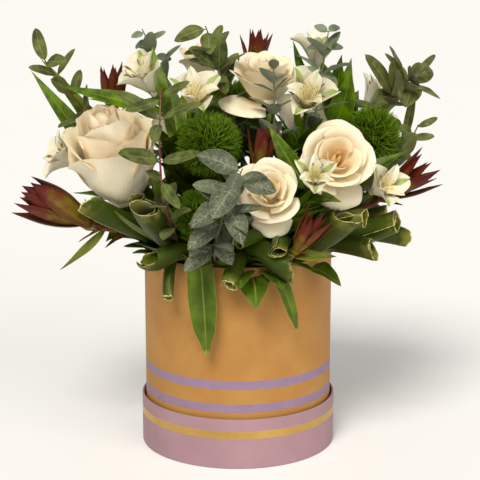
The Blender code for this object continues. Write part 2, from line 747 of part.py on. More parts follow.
def settled_large_leaf(start, mouth, rise, half_width, kind, stem, seed):
    """The large leaf on its first clear way; near the stem it may lie on its own neighbours."""
    shape = flat_blade if kind in (BLADE, HANG) else roll_mesh
    own, first_met = stem + "_leaf", None
    for path in large_leaf_ways(start, Vector(mouth), rise, kind):
        whole = shape(path, half_width, grow=GAP)
        outer_half = shape(path[2:], half_width * 0.9, grow=GAP)
        if space.clear(whole, (stem, own)) and space.clear(outer_half, (stem,)):
            made = shape(path, half_width, seed)
            space.add(made, own)
            return made
        first_met = first_met or {*space.met(whole, (stem, own)), *space.met(outer_half)}
    print("left out a large leaf of", stem, "to", mouth, "that meets", sorted(first_met))
    return None


# Nodes.
def material(name):
    made = bpy.data.materials.get(name)
    if made is None:
        made = bpy.data.materials.new(name)
        made.use_nodes = True
        shader = made.node_tree.nodes["Principled BSDF"]
        shader.inputs["Base Color"].default_value = COLOURS[name]
        shader.inputs["Roughness"].default_value = ROUGHNESS
        made.diffuse_color = COLOURS[name]
    return made


def mesh_object(name, mesh, colour):
    data = bpy.data.meshes.new(name)
    data.from_pydata([p * MM for p in mesh[0]], [], mesh[1])
    shell = bmesh.new()
    shell.from_mesh(data)
    bmesh.ops.recalc_face_normals(shell, faces=shell.faces[:])
    shell.to_mesh(data)
    shell.free()
    data.materials.append(material(colour))
    made = bpy.data.objects.new(name, data)
    bpy.context.scene.collection.objects.link(made)
    return made


def combined(name, meshes, colour, operation="UNION", solver="EXACT"):
    """The first mesh joined with, or cut by, the others in one Boolean, which is applied."""
    body = mesh_object(name, meshes[0], colour)
    others = bpy.data.collections.new(name + "_pieces")
    bpy.context.scene.collection.children.link(others)
    for k, mesh in enumerate(meshes[1:]):
        piece = mesh_object(f"{name}_piece_{k}", mesh, colour)
        bpy.context.scene.collection.objects.unlink(piece)
        others.objects.link(piece)
    joined = body.modifiers.new("join", "BOOLEAN")
    joined.operation, joined.operand_type, joined.collection = operation, "COLLECTION", others
    joined.solver = solver
    bpy.context.view_layer.update()
    graph = bpy.context.evaluated_depsgraph_get()
    result = bpy.data.meshes.new_from_object(body.evaluated_get(graph))
    body.modifiers.clear()
    body.data = result
    for piece in list(others.objects):
        bpy.data.objects.remove(piece)
    bpy.data.collections.remove(others)
    return body


def cup(radius, wall, low, high):
    """A round tray with a wall and a floor of one thickness."""
    inner = radius - wall
    turns = [2 * math.pi * k / ROUND_SIDES for k in range(ROUND_SIDES)]
    sizes = ((radius, low), (radius, high), (inner, high), (inner, low + wall))
    return loft([[Vector((r * math.cos(a), r * math.sin(a), z)) for a in turns] for r, z in sizes])


def make_box():
    """The lid, the box and the liner; returns the foam, which is cut when all stems stand."""
    floor = BOARD + GAP
    mesh_object("lid", cup(LID_RADIUS, BOARD, 0, LID_HEIGHT), "lilac_card")
    box = cup(BOX_RADIUS, BOARD, floor, RIM_HEIGHT)
    mesh_object("box", box, "mustard_card")
    space.add(box, "box")
    film, film_floor = BOX_RADIUS - BOARD - GAP, floor + BOARD + GAP
    mesh_object("liner", cup(film, FILM, film_floor, LINER_HEIGHT), "clear_film")
    block = film - FILM - GAP
    space.add(lathe([(block, FOAM_HEIGHT - 2), (block, FOAM_HEIGHT)], ROUND_SIDES), "foam")
    return lathe([(block, film_floor + FILM + GAP), (block, FOAM_HEIGHT)], ROUND_SIDES)


def make_foam(foam):
    cutters = [
        even_tube([path[0] - UP, path[1] + UP * 6], radius) for path, radius in holes
    ]
    combined("foam", [foam, *cutters], "flower_foam", "DIFFERENCE")


def make_heads():
    """Every head takes its place before any stem looks for its way."""
    heads = {name: rose_head(row) for name, row in ROSES.items()}
    for name, (_, flowers, _) in ALSTROEMERIAS.items():
        for k, (base, direction, reach, turn) in enumerate(flowers):
            flower = f"{name}_flower_{k + 1}"
            heads[flower] = alstroemeria_head(base, direction, reach, turn, k)
    for k, (name, (centre, radius, spikes)) in enumerate(DIANTHUS.items()):
        heads[name] = [tuft(centre, radius, spikes, k)]
    for name, (base, direction, length, width, turn, _) in LEUCADENDRONS.items():
        heads[name] = leucadendron_head(base, direction, length, width, turn)
    for name, meshes in heads.items():
        for mesh in meshes:
            space.add(mesh, name)
    return heads


def make_rose_stems(heads):
    for name, (base, direction, radius, _, _, turn, _, _) in ROSES.items():
        stem, ahead = name + "_stem", Vector(direction).normalized()
        path = settled_stem(Vector(base) - ahead * 6, ahead, ROSE_STEM, stem, (name,))
        full = [*path, Vector(base) - ahead * 3, Vector(base) - ahead * (GAP + 0.02 * radius)]
        widths = [ROSE_STEM] * len(path) + [2.4 + radius * 0.09, 2 + radius * 0.05]
        green = sepals(base, direction, turn, radius)
        for sepal in green:
            space.add(sepal, stem)
        combined(stem, [tube(full, widths), *green], "green_stem")
        combined(name, heads[name], "cream_petal")


def make_dianthus(heads):
    for name, (centre, radius, _) in DIANTHUS.items():
        inward = Vector((centre[0], centre[1], radius * 2.5)).normalized()
        end = Vector(centre) - inward * radius * 0.4
        path = settled_stem(end, inward, 2.2, name, (name,))
        combined(name, [*heads[name], even_tube(path, 2.2)], "tufted_green", solver="MANIFOLD")


def make_leucadendron_stems(heads):
    stems = {}
    for name, (base, direction, *_) in LEUCADENDRONS.items():
        ahead = Vector(direction).normalized()
        end = Vector(base) + ahead * 3
        stems[name] = settled_stem(end, ahead, LEUCADENDRON_STEM, name, (name,))
    return stems


def finish_leucadendrons(heads, stems):
    for name, path in stems.items():
        leaves = settled_leaves([path[1:]], LEUCADENDRONS[name][-1], name)
        meshes = [*heads[name], even_tube(path, LEUCADENDRON_STEM), *leaves]
        combined(name, meshes, "burgundy_bract")


def make_alstroemeria_stems():
    stems = {}
    for name, (fork, flowers, _) in ALSTROEMERIAS.items():
        fork = Vector(fork)
        own = [f"{name}_flower_{k + 1}" for k in range(len(flowers))]
        paths = [settled_stem(fork, UP, ALSTROEMERIA_STEM, name, own)]
        for base, direction, reach, turn in flowers:
            ahead = Vector(direction).normalized()
            end = Vector(base) - ahead * GAP
            last, span = end - ahead * 4, (end - fork).length
            way = [
                *bezier([fork - UP * 3, fork + UP * span * 0.3, last - ahead * span * 0.3, last], 4),
                end,
            ]
            met = set(space.met(even_tube(way[1:], 1.7 + GAP), (*own, name)))
            if met:
                print("a flower stalk of", name, "meets", sorted(met))
            space.add(even_tube(way, 1.7), name)
            paths.append(way)
        stems[name] = paths
    return stems


def finish_alstroemerias(heads, stems):
    for name, (fork, flowers, drawn) in ALSTROEMERIAS.items():
        main, *stalks = stems[name]
        meshes = [even_tube(main, ALSTROEMERIA_STEM)]
        meshes += [tube(way, [1.7, 1.7, 1.7, 1.9, 2.6]) for way in stalks]
        meshes += settled_leaves(stems[name], drawn, name)
        for share, count, turn in ((0.5, 2, 0.9), (0.66, 3, 0.3), (0.82, 3, 1.1)):
            for k in range(count):
                root, _ = on_path(main, share)
                angle = 2 * math.pi * k / count + turn
                away = Matrix.Rotation(angle, 3, "Z") @ Vector((1, 0, 0.7))
                away.normalize()
                lift = (UP - away * away.z).normalized()
                leaf = settled_leaf(root, away, lift, 56, 22, name, 2)
                if leaf:
                    meshes.append(leaf)
        combined(name, meshes, "green_stem")
        for k in range(len(flowers)):
            flower = f"{name}_flower_{k + 1}"
            combined(flower, heads[flower], "white_petal")


def make_bunches():
    for name, (foot, leaves) in BUNCHES.items():
        for cell in cells_near(*foot):
            top = [cell, cell + UP * BUNCH_HEIGHT]
            if space.clear(even_tube(top, BUNCH_STEM + GAP), ("foam",)):
                break
        else:
            raise ValueError("no clear place for " + name)
        path = rooted(cell, top, BUNCH_STEM, name)
        meshes = [even_tube(path, BUNCH_STEM)]
        for k, (mouth, rise, half_width, kind) in enumerate(leaves):
            start = path[-1] - UP * 2
            made = settled_large_leaf(start, mouth, rise, half_width, kind, name, k)
            if made:
                meshes.append(made)
        combined(name, meshes, "rolled_green")


def swung_ways(foot, first, second, tip):
    """A stem's ways out of the foam: nearest foot first, then pushed further out and aside."""
    outward = Vector((second.x, second.y, 0)).normalized()
    aside = outward.cross(UP)
    for push in (0, 6, 12, 18, 24, 30):
        for swing in (0, -8, 8, -16, 16):
            for cell in cells_near(foot.x, foot.y)[:10]:
                away = outward * push + aside * swing
                yield cell, [cell, first + away, second + away, tip + away * 0.4]


def make_eucalyptus_stems():
    stems = {}
    for name, (drawn, *_) in {**DRAWN_SPRAYS, **PAIRED_SPRAYS}.items():
        for cell, controls in swung_ways(*[Vector(c) for c in drawn]):
            path = bezier(controls, 6)
            if space.clear(even_tube(path, EUCALYPTUS_STEM + GAP), ("foam",)):
                break
        else:
            room = even_tube(bezier(drawn, 6), EUCALYPTUS_STEM + GAP)
            raise ValueError(f"{name} meets {sorted(set(space.met(room, ('foam',))))}")
        stems[name] = rooted(cell, path, EUCALYPTUS_STEM, name)
    return stems


def paired_leaves(path, row, name):
    """Leaves in opposite pairs up a stem, each pair turned from the last."""
    pairs, length, width, bare, taper, first, step = row
    for pair in range(pairs):
        later = pair / (pairs - 1)
        root, ahead = on_path(path[1:], bare + (0.98 - bare) * later)
        out = ahead.cross(Vector((0, 1, 0))).normalized()
        size = 1 - taper * later
        for half_turn in (0, math.pi):
            angle = math.radians(first + step * pair) + half_turn
            away = Matrix.Rotation(angle, 3, ahead) @ out
            direction = (away * 0.86 + ahead * 0.51).normalized()
            lift = (ahead - direction * ahead.dot(direction)).normalized()
            long, wide = length * size, width * size
            leaf = settled_leaf(root, direction, lift, long, wide, name, 2 if long < 33 else 3)
            if leaf:
                yield leaf


def finish_eucalyptus(stems):
    for name, path in stems.items():
        slim = [EUCALYPTUS_STEM * (1 - 0.5 * (k / (len(path) - 1)) ** 2) for k in range(len(path))]
        meshes = [tube(path, slim)]
        if name in DRAWN_SPRAYS:
            meshes += settled_leaves([path[1:]], DRAWN_SPRAYS[name][1], name)
        else:
            meshes += paired_leaves(path, PAIRED_SPRAYS[name][1:], name)
        frosted = "blue" in name or "frosted" in name
        combined(name, meshes, "frosted_green" if frosted else "eucalyptus_green")


def build():
    for leftover in list(bpy.data.objects):
        bpy.data.objects.remove(leftover)
    foam = make_box()
    heads = make_heads()
    make_rose_stems(heads)
    make_dianthus(heads)
    cone_stems = make_leucadendron_stems(heads)
    flower_stems = make_alstroemeria_stems()
    sprays = make_eucalyptus_stems()
    make_bunches()
    finish_alstroemerias(heads, flower_stems)
    finish_leucadendrons(heads, cone_stems)
    finish_eucalyptus(sprays)
    make_foam(foam)
    for made in bpy.context.scene.objects:
        made.data.set_sharp_from_angle(angle=math.radians(35))


build()
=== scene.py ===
# %% [markdown]
# # A round flower box, piece by piece
#
# The real object is a round card box that stands in its own upturned lid. Inside it is a block
# of wet flower foam, and in the foam stand roses, alstroemerias, tufts of green dianthus,
# leucadendrons, eucalyptus and large leaves that are rolled into scrolls.
# A solid model with plain pieces already fixes where everything stands. This lesson puts a fine
# piece in the place of each plain one and gives it the finish of the real thing.
# It starts by loading that frame. Lengths in the tables are millimetres, as in a workshop
# drawing, and each mesh is scaled to metres when it is made.

import math

import bpy
import numpy as np
from mathutils import Matrix, Vector
from mathutils.bvhtree import BVHTree
from mathutils.geometry import intersect_point_line
from mathutils.kdtree import KDTree


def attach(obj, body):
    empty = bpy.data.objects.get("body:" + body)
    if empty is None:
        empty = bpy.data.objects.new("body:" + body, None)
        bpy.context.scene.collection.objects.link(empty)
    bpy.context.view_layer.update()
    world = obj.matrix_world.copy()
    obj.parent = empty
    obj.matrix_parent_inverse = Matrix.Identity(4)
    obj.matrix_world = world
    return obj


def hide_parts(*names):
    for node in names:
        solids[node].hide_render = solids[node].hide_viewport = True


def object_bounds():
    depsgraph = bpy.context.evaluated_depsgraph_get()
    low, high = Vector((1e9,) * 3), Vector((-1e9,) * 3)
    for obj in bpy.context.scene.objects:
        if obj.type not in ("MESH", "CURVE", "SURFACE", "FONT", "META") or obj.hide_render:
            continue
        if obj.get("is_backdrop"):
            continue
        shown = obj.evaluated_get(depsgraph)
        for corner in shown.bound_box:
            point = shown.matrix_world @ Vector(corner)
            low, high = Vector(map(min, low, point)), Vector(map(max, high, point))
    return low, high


MM = 0.001
UP = np.array((0.0, 0.0, 1.0))
GOLDEN_TURN = math.radians(137.5)

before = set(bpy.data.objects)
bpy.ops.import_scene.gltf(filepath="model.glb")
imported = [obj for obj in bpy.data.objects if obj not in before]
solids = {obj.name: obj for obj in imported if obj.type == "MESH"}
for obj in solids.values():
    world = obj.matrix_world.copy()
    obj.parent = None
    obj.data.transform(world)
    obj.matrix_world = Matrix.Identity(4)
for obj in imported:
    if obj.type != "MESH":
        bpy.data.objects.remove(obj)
frame_box = [list(corner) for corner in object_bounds()]
print(len(solids), "solids from", frame_box[0], "to", frame_box[1])

# %% [markdown]
# ## Curves and directions
#
# A stem is a smooth curve, so four control points describe it well, and the same four points
# give a rough or a fine line. To wrap a skin round such a line, each of its points needs a
# direction and a sideways direction that turn as little as possible from point to point.
# Working with whole arrays of points keeps all of this to a few lines.

# %% Curves and directions
def unit(vectors):
    vectors = np.asarray(vectors, float)
    return vectors / (np.linalg.norm(vectors, axis=-1, keepdims=True) + 1e-12)


def square_to(vector, axis):
    """The direction of a vector without its part along an axis."""
    return unit(vector - axis * (vector @ axis))


def level_way(angle):
    """The level direction at an angle from the X axis."""
    return np.array((math.cos(angle), math.sin(angle), 0))


def round_angles(count):
    """Angles in even steps, once round."""
    return 2 * np.pi * np.arange(count) / count


def curve(controls, count):
    """Points on the cubic curve of four control points."""
    t = np.linspace(0, 1, count)[:, None]
    a, b, c, d = [np.array(p, float) for p in controls]
    return (1 - t) ** 3 * a + 3 * t * (1 - t) ** 2 * b + 3 * t * t * (1 - t) * c + t ** 3 * d


def directions(path):
    """Ahead, side and lift at each point of a path."""
    path = np.asarray(path, float)
    ahead = unit(np.concatenate([
        path[1:2] - path[:1], path[2:] - path[:-2], path[-1:] - path[-2:-1]]))
    side, sides = unit(np.cross(ahead[0], (0.3, 1, 0.1))), []
    for way in ahead:
        side = square_to(side, way)
        sides.append(side)
    return ahead, np.array(sides), np.cross(ahead, sides)


def on_path(path, share):
    """The point at a share of a path's points, and the direction there."""
    place = share * (len(path) - 1)
    k = min(int(place), len(path) - 2)
    return path[k] + (path[k + 1] - path[k]) * (place - k), unit(path[k + 1] - path[k])


def turned(points, angle):
    """Points turned round the vertical axis."""
    c, s = math.cos(angle), math.sin(angle)
    return points @ np.array(((c, s, 0), (-s, c, 0), (0, 0, 1)))


def heading(direction, turn):
    """The matrix that turns a shape which grows along Z to a direction in the arrangement."""
    spin = Matrix.Rotation(math.radians(turn), 3, "Z")
    return np.array(Vector(direction).normalized().to_track_quat("Z", "Y").to_matrix() @ spin)


def turn_about(points, axis, angle):
    return np.asarray(points, float) @ np.array(Matrix.Rotation(angle, 3, Vector(axis))).T


print("a curve of 5 points reaches", curve(((0, 0, 0), (0, 0, 9), (9, 0, 9), (9, 0, 0)), 5)[2])

# %% [markdown]
# ## Sheets and rings
#
# Nearly everything here is a thin sheet, such as a petal or a leaf, or a skin round a line, such
# as a stem. A sheet gets two faces a small distance apart that meet along its rim, so it is
# closed, has a soft thin edge and looks right from both sides.
# Each corner of a face also keeps two pairs of numbers, as UV maps: "sheet" says how far it is
# across and along the sheet, and "kind" says what sort of sheet it is and one random number.
# The finishes read them to put veins, tips and edges in the right place.

# %% Sheets and rings
QUAD = ((slice(None, -1), slice(None, -1)), (slice(None, -1), slice(1, None)),
        (slice(1, None), slice(1, None)), (slice(1, None), slice(None, -1)))
CREASE = math.radians(58)    # edges that turn by more than this stay sharp


def quads(index):
    """Faces of four corners over a grid of corner numbers."""
    return np.stack([index[c] for c in QUAD], axis=-1).reshape(-1, 4)


class Piece:
    """Sheets and tubes that are gathered and then become one mesh."""

    def __init__(self):
        self.points, self.faces, self.spots, self.kinds, self.finish = [], [], [], [], []
        self.total = 0

    def place(self, points):
        self.points.append(points)
        self.total += len(points)
        return self.total - len(points)

    def cover(self, faces, spots, kind, finish):
        """Adds faces; the kind is one pair for all of them or a pair for each corner."""
        self.faces.append(faces)
        self.spots.append(spots.reshape(-1, 2))
        self.kinds.append(np.broadcast_to(np.array(kind, float), (faces.size, 2)))
        self.finish.append(np.full(len(faces), finish))

    def sheet(self, grid, thickness=0.5, kind=(1, 0), finish=0, under=None):
        """A closed skin over a grid of points: rows run along it and columns across it."""
        rows, columns = grid.shape[:2]
        lift = unit(np.cross(np.gradient(grid, axis=1), np.gradient(grid, axis=0)))
        depth = np.zeros((rows, columns, 1))
        depth[1:-1, 1:-1] = thickness / 2
        upper = np.arange(rows * columns).reshape(rows, columns)
        lower = np.where(depth[..., 0] > 0, upper + rows * columns, upper)
        points = np.concatenate([(grid + lift * depth).reshape(-1, 3),
                                 (grid - lift * depth).reshape(-1, 3)])
        start = self.place(points)
        across, along = np.meshgrid(np.linspace(0, 1, columns), np.linspace(0, 1, rows))
        spot = np.stack([across, along], axis=-1)
        spots = np.stack([spot[c] for c in QUAD], axis=-2).reshape(-1, 4, 2)
        for skin, own, way in ((upper, kind, 1), (lower, under or kind, -1)):
            self.cover(start + quads(skin)[:, ::way], spots[:, ::way], own, finish)

    def leaf(self, grid, rng, finish, thickness=0.6):
        """A sheet whose upper face is of kind 1 and whose lower face is of kind 0."""
        self.sheet(grid, thickness, (1, rng.random()), finish, (0, rng.random()))

    def rings(self, rings, kind=(1, 0), finish=0):
        """A closed skin through rings of points, with a cap at each end."""
        rows, sides = rings.shape[:2]
        start = self.place(np.concatenate([rings.reshape(-1, 3), rings[0].mean(0)[None],
                                           rings[-1].mean(0)[None]]))
        index = np.arange(rows * sides).reshape(rows, sides) + start
        after = np.roll(index, -1, axis=1)
        faces = np.stack([index[:-1], after[:-1], after[1:], index[1:]], axis=-1).reshape(-1, 4)
        across, along = np.meshgrid(np.arange(sides) / sides, np.arange(rows - 1) / (rows - 1))
        step = 1 / sides, 1 / (rows - 1)
        spots = np.stack([np.stack([across + a * step[0], along + b * step[1]], axis=-1)
                          for a, b in ((0, 0), (1, 0), (1, 1), (0, 1))], axis=-2)
        self.cover(faces, spots, kind, finish)
        hub = start + rows * sides
        for row, centre, level, way in ((0, hub, 0, -1), (-1, hub + 1, 1, 1)):
            middle = np.full(sides, centre)
            fan = np.stack([middle, index[row], after[row]], axis=-1)[:, ::way]
            self.cover(fan, np.tile((0.5, level), (sides * 3, 1)), kind, finish)

    def tube(self, path, radii, sides=8, kind=(1, 0), finish=0):
        path = np.asarray(path, float)
        _, side, lift = directions(path)
        turn = round_angles(sides)
        radii = np.broadcast_to(radii, len(path))[:, None, None]
        hoop = np.cos(turn)[:, None] * side[:, None] + np.sin(turn)[:, None] * lift[:, None]
        self.rings(path[:, None] + radii * hoop, kind, finish)

    def lathe(self, profile, sides, kind=(1, 0), finish=0, spin=None, base=(0, 0, 0)):
        """A skin turned round an axis from its radii and heights."""
        turn = round_angles(sides)
        rings = np.array([np.stack([r * np.cos(turn), r * np.sin(turn), np.full(sides, z)], axis=-1)
                          for r, z in profile])
        rings = rings if spin is None else rings @ spin.T
        self.rings(rings + np.array(base, float), kind, finish)

    def make(self, name, finishes, replaced, slot):
        """One object of all that was gathered, in place of a node of the frame."""
        loops = np.concatenate([f.ravel() for f in self.faces])
        sizes = np.concatenate([np.full(len(f), f.shape[1]) for f in self.faces])
        used, loops = np.unique(loops, return_inverse=True)
        points = np.concatenate(self.points)[used] * MM
        mesh = bpy.data.meshes.new(name)
        mesh.vertices.add(len(points))
        mesh.vertices.foreach_set("co", points.astype(np.float32).ravel())
        mesh.loops.add(len(loops))
        mesh.loops.foreach_set("vertex_index", loops.astype(np.int32).ravel())
        mesh.polygons.add(len(sizes))
        mesh.polygons.foreach_set("loop_start", (np.cumsum(sizes) - sizes).astype(np.int32))
        mesh.polygons.foreach_set("material_index", np.concatenate(self.finish).astype(np.int32))
        for label, values in (("sheet", self.spots), ("kind", self.kinds)):
            layer = mesh.uv_layers.new(name=label)
            layer.data.foreach_set("uv", np.concatenate(values).astype(np.float32).ravel())
        for finish in finishes:
            mesh.materials.append(finish)
        mesh.update(calc_edges=True)
        mesh.validate()
        mesh.shade_smooth()
        mesh.set_sharp_from_angle(angle=CREASE)
        made = bpy.data.objects.new(name, mesh)
        bpy.context.scene.collection.objects.link(made)
        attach(made, "root")
        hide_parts(replaced)
        print(f"{name}: {int((sizes - 2).sum())} triangles")
        return made


def grow(make, table):
    """Makes the piece of each row of a table; the row's number starts its random draws."""
    for seed, (name, row) in enumerate(table.items()):
        make(name, row, seed)


print("ready to gather pieces")

# %% [markdown]
# ## Words for finishes
#
# A finish in Blender is a tree of small nodes. Written out link by link it is hard to read, so
# a small class stands for "a value on its way through the tree": adding or multiplying two of
# them places a Math node. Effects that many finishes share, such as mottling, veins and pale
# rims, become node groups, which are built once and placed with their own values each time.

# %% Values on their way
class Flow:
    """A value on its way through a node tree."""

    def __init__(self, tree, socket):
        self.tree, self.socket = tree, socket

    def math(self, operation, *others):
        made = self.tree.nodes.new("ShaderNodeMath")
        made.operation = operation
        for slot, value in zip(made.inputs, (self, *others)):
            feed(value, slot)
        return Flow(self.tree, made.outputs[0])

    def __add__(self, other):
        return self.math("ADD", other)

    def __sub__(self, other):
        return self.math("SUBTRACT", other)

    def __mul__(self, other):
        return self.math("MULTIPLY", other)

    def __pow__(self, other):
        return self.math("POWER", other)

    def step(self, low, high):
        """A smooth slope from 0 at one value to 1 at the other."""
        return flow_of(self.tree, "MapRange", "Result", {
            "Value": self, "From Min": low, "From Max": high}, interpolation_type="SMOOTHSTEP")

    def wave(self):
        """Between 0 and 1, once for each whole number."""
        return (self * (2 * math.pi)).math("SINE") * 0.5 + 0.5

    def parts(self):
        split = added(self.tree, "SeparateXYZ", {"Vector": self})
        return [Flow(self.tree, socket) for socket in split.outputs]


def feed(value, slot):
    if isinstance(value, Flow):
        value.tree.links.new(value.socket, slot)
    else:
        slot.default_value = value


def added(tree, kind, inputs=(), **settings):
    made = tree.nodes.new("ShaderNode" + kind)
    for name, value in settings.items():
        setattr(made, name, value)
    for name, value in dict(inputs).items():
        feed(value, made.inputs[name])
    return made


def flow_of(tree, kind, output, inputs=(), **settings):
    """What one output of a new node gives."""
    return Flow(tree, added(tree, kind, inputs, **settings).outputs[output])


print("ready to join values")

# %% Words for finishes
def blend(share, low, high):
    """Colour low where share is 0 and high where it is 1."""
    tree = next(value.tree for value in (share, low, high) if isinstance(value, Flow))
    return flow_of(tree, "Mix", 2, {0: share, 6: low, 7: high}, data_type="RGBA")


def object_place(tree):
    return flow_of(tree, "TexCoord", "Object")


def noise(tree, size, detail=3.0, where=None, roughness=0.55):
    """Clouds of about a size in millimetres, or in the units of where."""
    scale = 1000.0 / size if where is None else 1.0 / size
    return flow_of(tree, "TexNoise", "Fac", {
        "Vector": where or object_place(tree), "Scale": scale, "Detail": detail,
        "Roughness": roughness})


def tint(red, green, blue):
    """A colour as it is seen on a screen, 0 to 255, turned to the light that it reflects."""
    return (*[(v / 255 / 12.92) if v < 10 else ((v / 255 + 0.055) / 1.055) ** 2.4
              for v in (red, green, blue)], 1.0)


def new_group(name, inputs, outputs):
    """A node group with named sockets: a number, a direction of three or a colour of four."""
    tree = bpy.data.node_groups.new(name, "ShaderNodeTree")
    kinds = {1: "NodeSocketFloat", 3: "NodeSocketVector", 4: "NodeSocketColor"}
    for way, sockets in (("INPUT", inputs), ("OUTPUT", outputs)):
        for label, value in sockets.items():
            size = len(value) if isinstance(value, tuple) else 1
            socket = tree.interface.new_socket(label, in_out=way, socket_type=kinds[size])
            socket.default_value = value
    entry, leave = tree.nodes.new("NodeGroupInput"), tree.nodes.new("NodeGroupOutput")
    return tree, {label: Flow(tree, entry.outputs[label]) for label in inputs}, leave.inputs


def use(tree, group, inputs):
    made = tree.nodes.new("ShaderNodeGroup")
    made.node_tree = group
    for name, value in inputs.items():
        feed(value, made.inputs[name])
    return {socket.name: Flow(tree, socket) for socket in made.outputs}


def new_finish(name, **shader):
    """A material and its shader, with what is the same all over set on the shader itself."""
    made = bpy.data.materials.new(name)
    made.use_nodes = True
    surface = made.node_tree.nodes["Principled BSDF"]
    for key, value in shader.items():
        surface.inputs[key.replace("_", " ").title().replace("Ior", "IOR")].default_value = value
    return made, made.node_tree, surface


def sheet_place(tree):
    """Across and along a sheet, then the sort of sheet and its random number."""
    sheet = flow_of(tree, "UVMap", "UV", uv_map="sheet")
    sort, chance, _ = flow_of(tree, "UVMap", "UV", uv_map="kind").parts()
    across, along, _ = sheet.parts()
    return sheet, across, along, sort, chance


def coat(surface, colour, height, strength, distance):
    """Gives a shader its colour and a relief, which is at most distance deep, in metres."""
    tree = colour.tree
    feed(colour, surface.inputs["Base Color"])
    feed(flow_of(tree, "Bump", "Normal", {
        "Height": height, "Strength": strength, "Distance": distance}), surface.inputs["Normal"])


print("ready to mix finishes")

# %% [markdown]
# ## Effects that many finishes share
#
# Living surfaces are never one colour. "mottling" varies a colour in clouds and a little from
# leaf to leaf. "leaf veins" draws a midrib with slanting side veins, "long veins" the parallel
# lines of a lily's petal or leaf, and "rim" finds the outer edge of a sheet, which wilts or was
# cut and so is paler. All of them read only the surface itself, never the camera.

# %% Mottling
mottling, given, result = new_group(
    "mottling", {"Colour": (0.5, 0.5, 0.5, 1.0), "Amount": 0.3, "Size": 6.0, "Chance": 0.0},
    {"Colour": (0.5, 0.5, 0.5, 1.0), "Cloud": 0.5})
place = flow_of(mottling, "VectorMath", 0, {0: object_place(mottling), 1: given["Chance"]},
                operation="ADD")
cloud = flow_of(mottling, "TexNoise", "Fac", {
    "Vector": place, "Scale": given["Size"] ** -1.0 * 1000.0, "Detail": 4.0, "Roughness": 0.6})
brightness = ((cloud - 0.5) * 2.2 + (given["Chance"] - 0.5) * 0.8) * given["Amount"] + 1.0
hue = (given["Chance"] - 0.5) * 0.025 + 0.5
varied = flow_of(mottling, "HueSaturation", "Color", {
    "Color": given["Colour"], "Value": brightness, "Hue": hue, "Saturation": 1.0, "Fac": 1.0})
feed(varied, result["Colour"])
feed(cloud, result["Cloud"])


def mottled(tree, colour, amount, size, chance=0.0):
    """A colour in clouds of a size in millimetres, which also varies from sheet to sheet."""
    return use(tree, mottling, {
        "Colour": colour, "Amount": amount, "Size": size, "Chance": chance})["Colour"]


print("mottling takes", [item.name for item in mottling.interface.items_tree])

# %% Leaf veins
leaf_veins, given, result = new_group(
    "leaf veins", {"Sheet": (0.0, 0.0, 0.0), "Side Veins": 9.0, "Slant": 1.6, "Midrib Width": 0.07},
    {"Midrib": 0.0, "Veins": 0.0, "Height": 0.0})
across, along, _ = given["Sheet"].parts()
outward = (across - 0.5).math("ABSOLUTE") * 2.0
midrib = (outward * given["Midrib Width"] ** -1.0).step(1.0, 0.2) * (along * -0.6 + 1.0)
slanting = (along * given["Side Veins"] - outward * given["Slant"]).wave() ** 9.0
veins = slanting * (outward * -0.7 + 1.0)
feed(midrib, result["Midrib"])
feed(veins, result["Veins"])
feed(midrib * -1.0 - veins * 0.5, result["Height"])
print("leaf veins gives midrib, veins and height")

# %% Long veins
long_veins, given, result = new_group(
    "long veins", {"Sheet": (0.0, 0.0, 0.0), "Lines": 14.0}, {"Lines": 0.0})
across, along, _ = given["Sheet"].parts()
stretched = flow_of(long_veins, "CombineXYZ", "Vector", {
    "X": across * given["Lines"], "Y": along * 1.5})
streaks = noise(long_veins, 0.7, 3.0, stretched)
feed((across * given["Lines"]).wave() * 0.5 + streaks * 0.5, result["Lines"])


def vein_lines(sheet, count):
    return use(sheet.tree, long_veins, {"Sheet": sheet, "Lines": count})["Lines"]


print("long veins gives one mask of lines")

# %% Rims
rim, given, result = new_group(
    "rim", {"Sheet": (0.0, 0.0, 0.0), "Side Width": 0.05, "End Width": 0.03, "Ragged": 0.5},
    {"Rim": 0.0})
across, along, _ = given["Sheet"].parts()
from_side = (across - 0.5).math("ABSOLUTE") * -1.0 + 0.5
from_end = along * -1.0 + 1.0
uneven = (noise(rim, 2.5, 4.0) - 0.5) * given["Ragged"] * 2.0 + 1.0
side_rim = (from_side * (given["Side Width"] * uneven) ** -1.0).step(1.0, 0.5)
end_rim = (from_end * (given["End Width"] * uneven) ** -1.0).step(1.0, 0.5)
feed(side_rim.math("MAXIMUM", end_rim), result["Rim"])


def edge_of(sheet, side_width, end_width, ragged):
    """1 along a sheet's edge; the widths are shares of its width and of its length."""
    return use(sheet.tree, rim, {"Sheet": sheet, "Side Width": side_width,
                                 "End Width": end_width, "Ragged": ragged})["Rim"]


print("rim gives one mask of the edge")

# %% Card weave
card_weave, given, result = new_group(
    "card weave", {"Radius": 84.0, "Thread": 0.9}, {"Threads": 0.0, "Wear": 0.0})
x, y, z = object_place(card_weave).parts()
turn = y.math("ARCTAN2", x) * given["Radius"]
per_thread = given["Thread"] ** -1.0
uneven = noise(card_weave, 5.0, 2.0) * 1.3
warp = (turn * per_thread + uneven).wave()
weft = (z * 1000.0 * per_thread + uneven).wave()
feed(warp.math("MAXIMUM", weft) * 0.7 + noise(card_weave, 1.1, 2.0) * 0.5, result["Threads"])
feed(noise(card_weave, 38.0, 5.0), result["Wear"])
print("card weave gives threads and wear")

# %% [markdown]
# ## The box and its lid
#
# The box is a tube of thick card that is covered with a fine-grained mustard paper, with two
# lilac bands printed round its foot. It stands in its own lid, which is covered in lilac paper
# and has one band of gold foil. Both are bodies of revolution, so their section is drawn once
# and turned round the axis. The section gets small rounded edges, because paper that is folded
# over card is never sharp, and light catches there.
# The bands are a matter of colour alone, so the finish finds them by height.

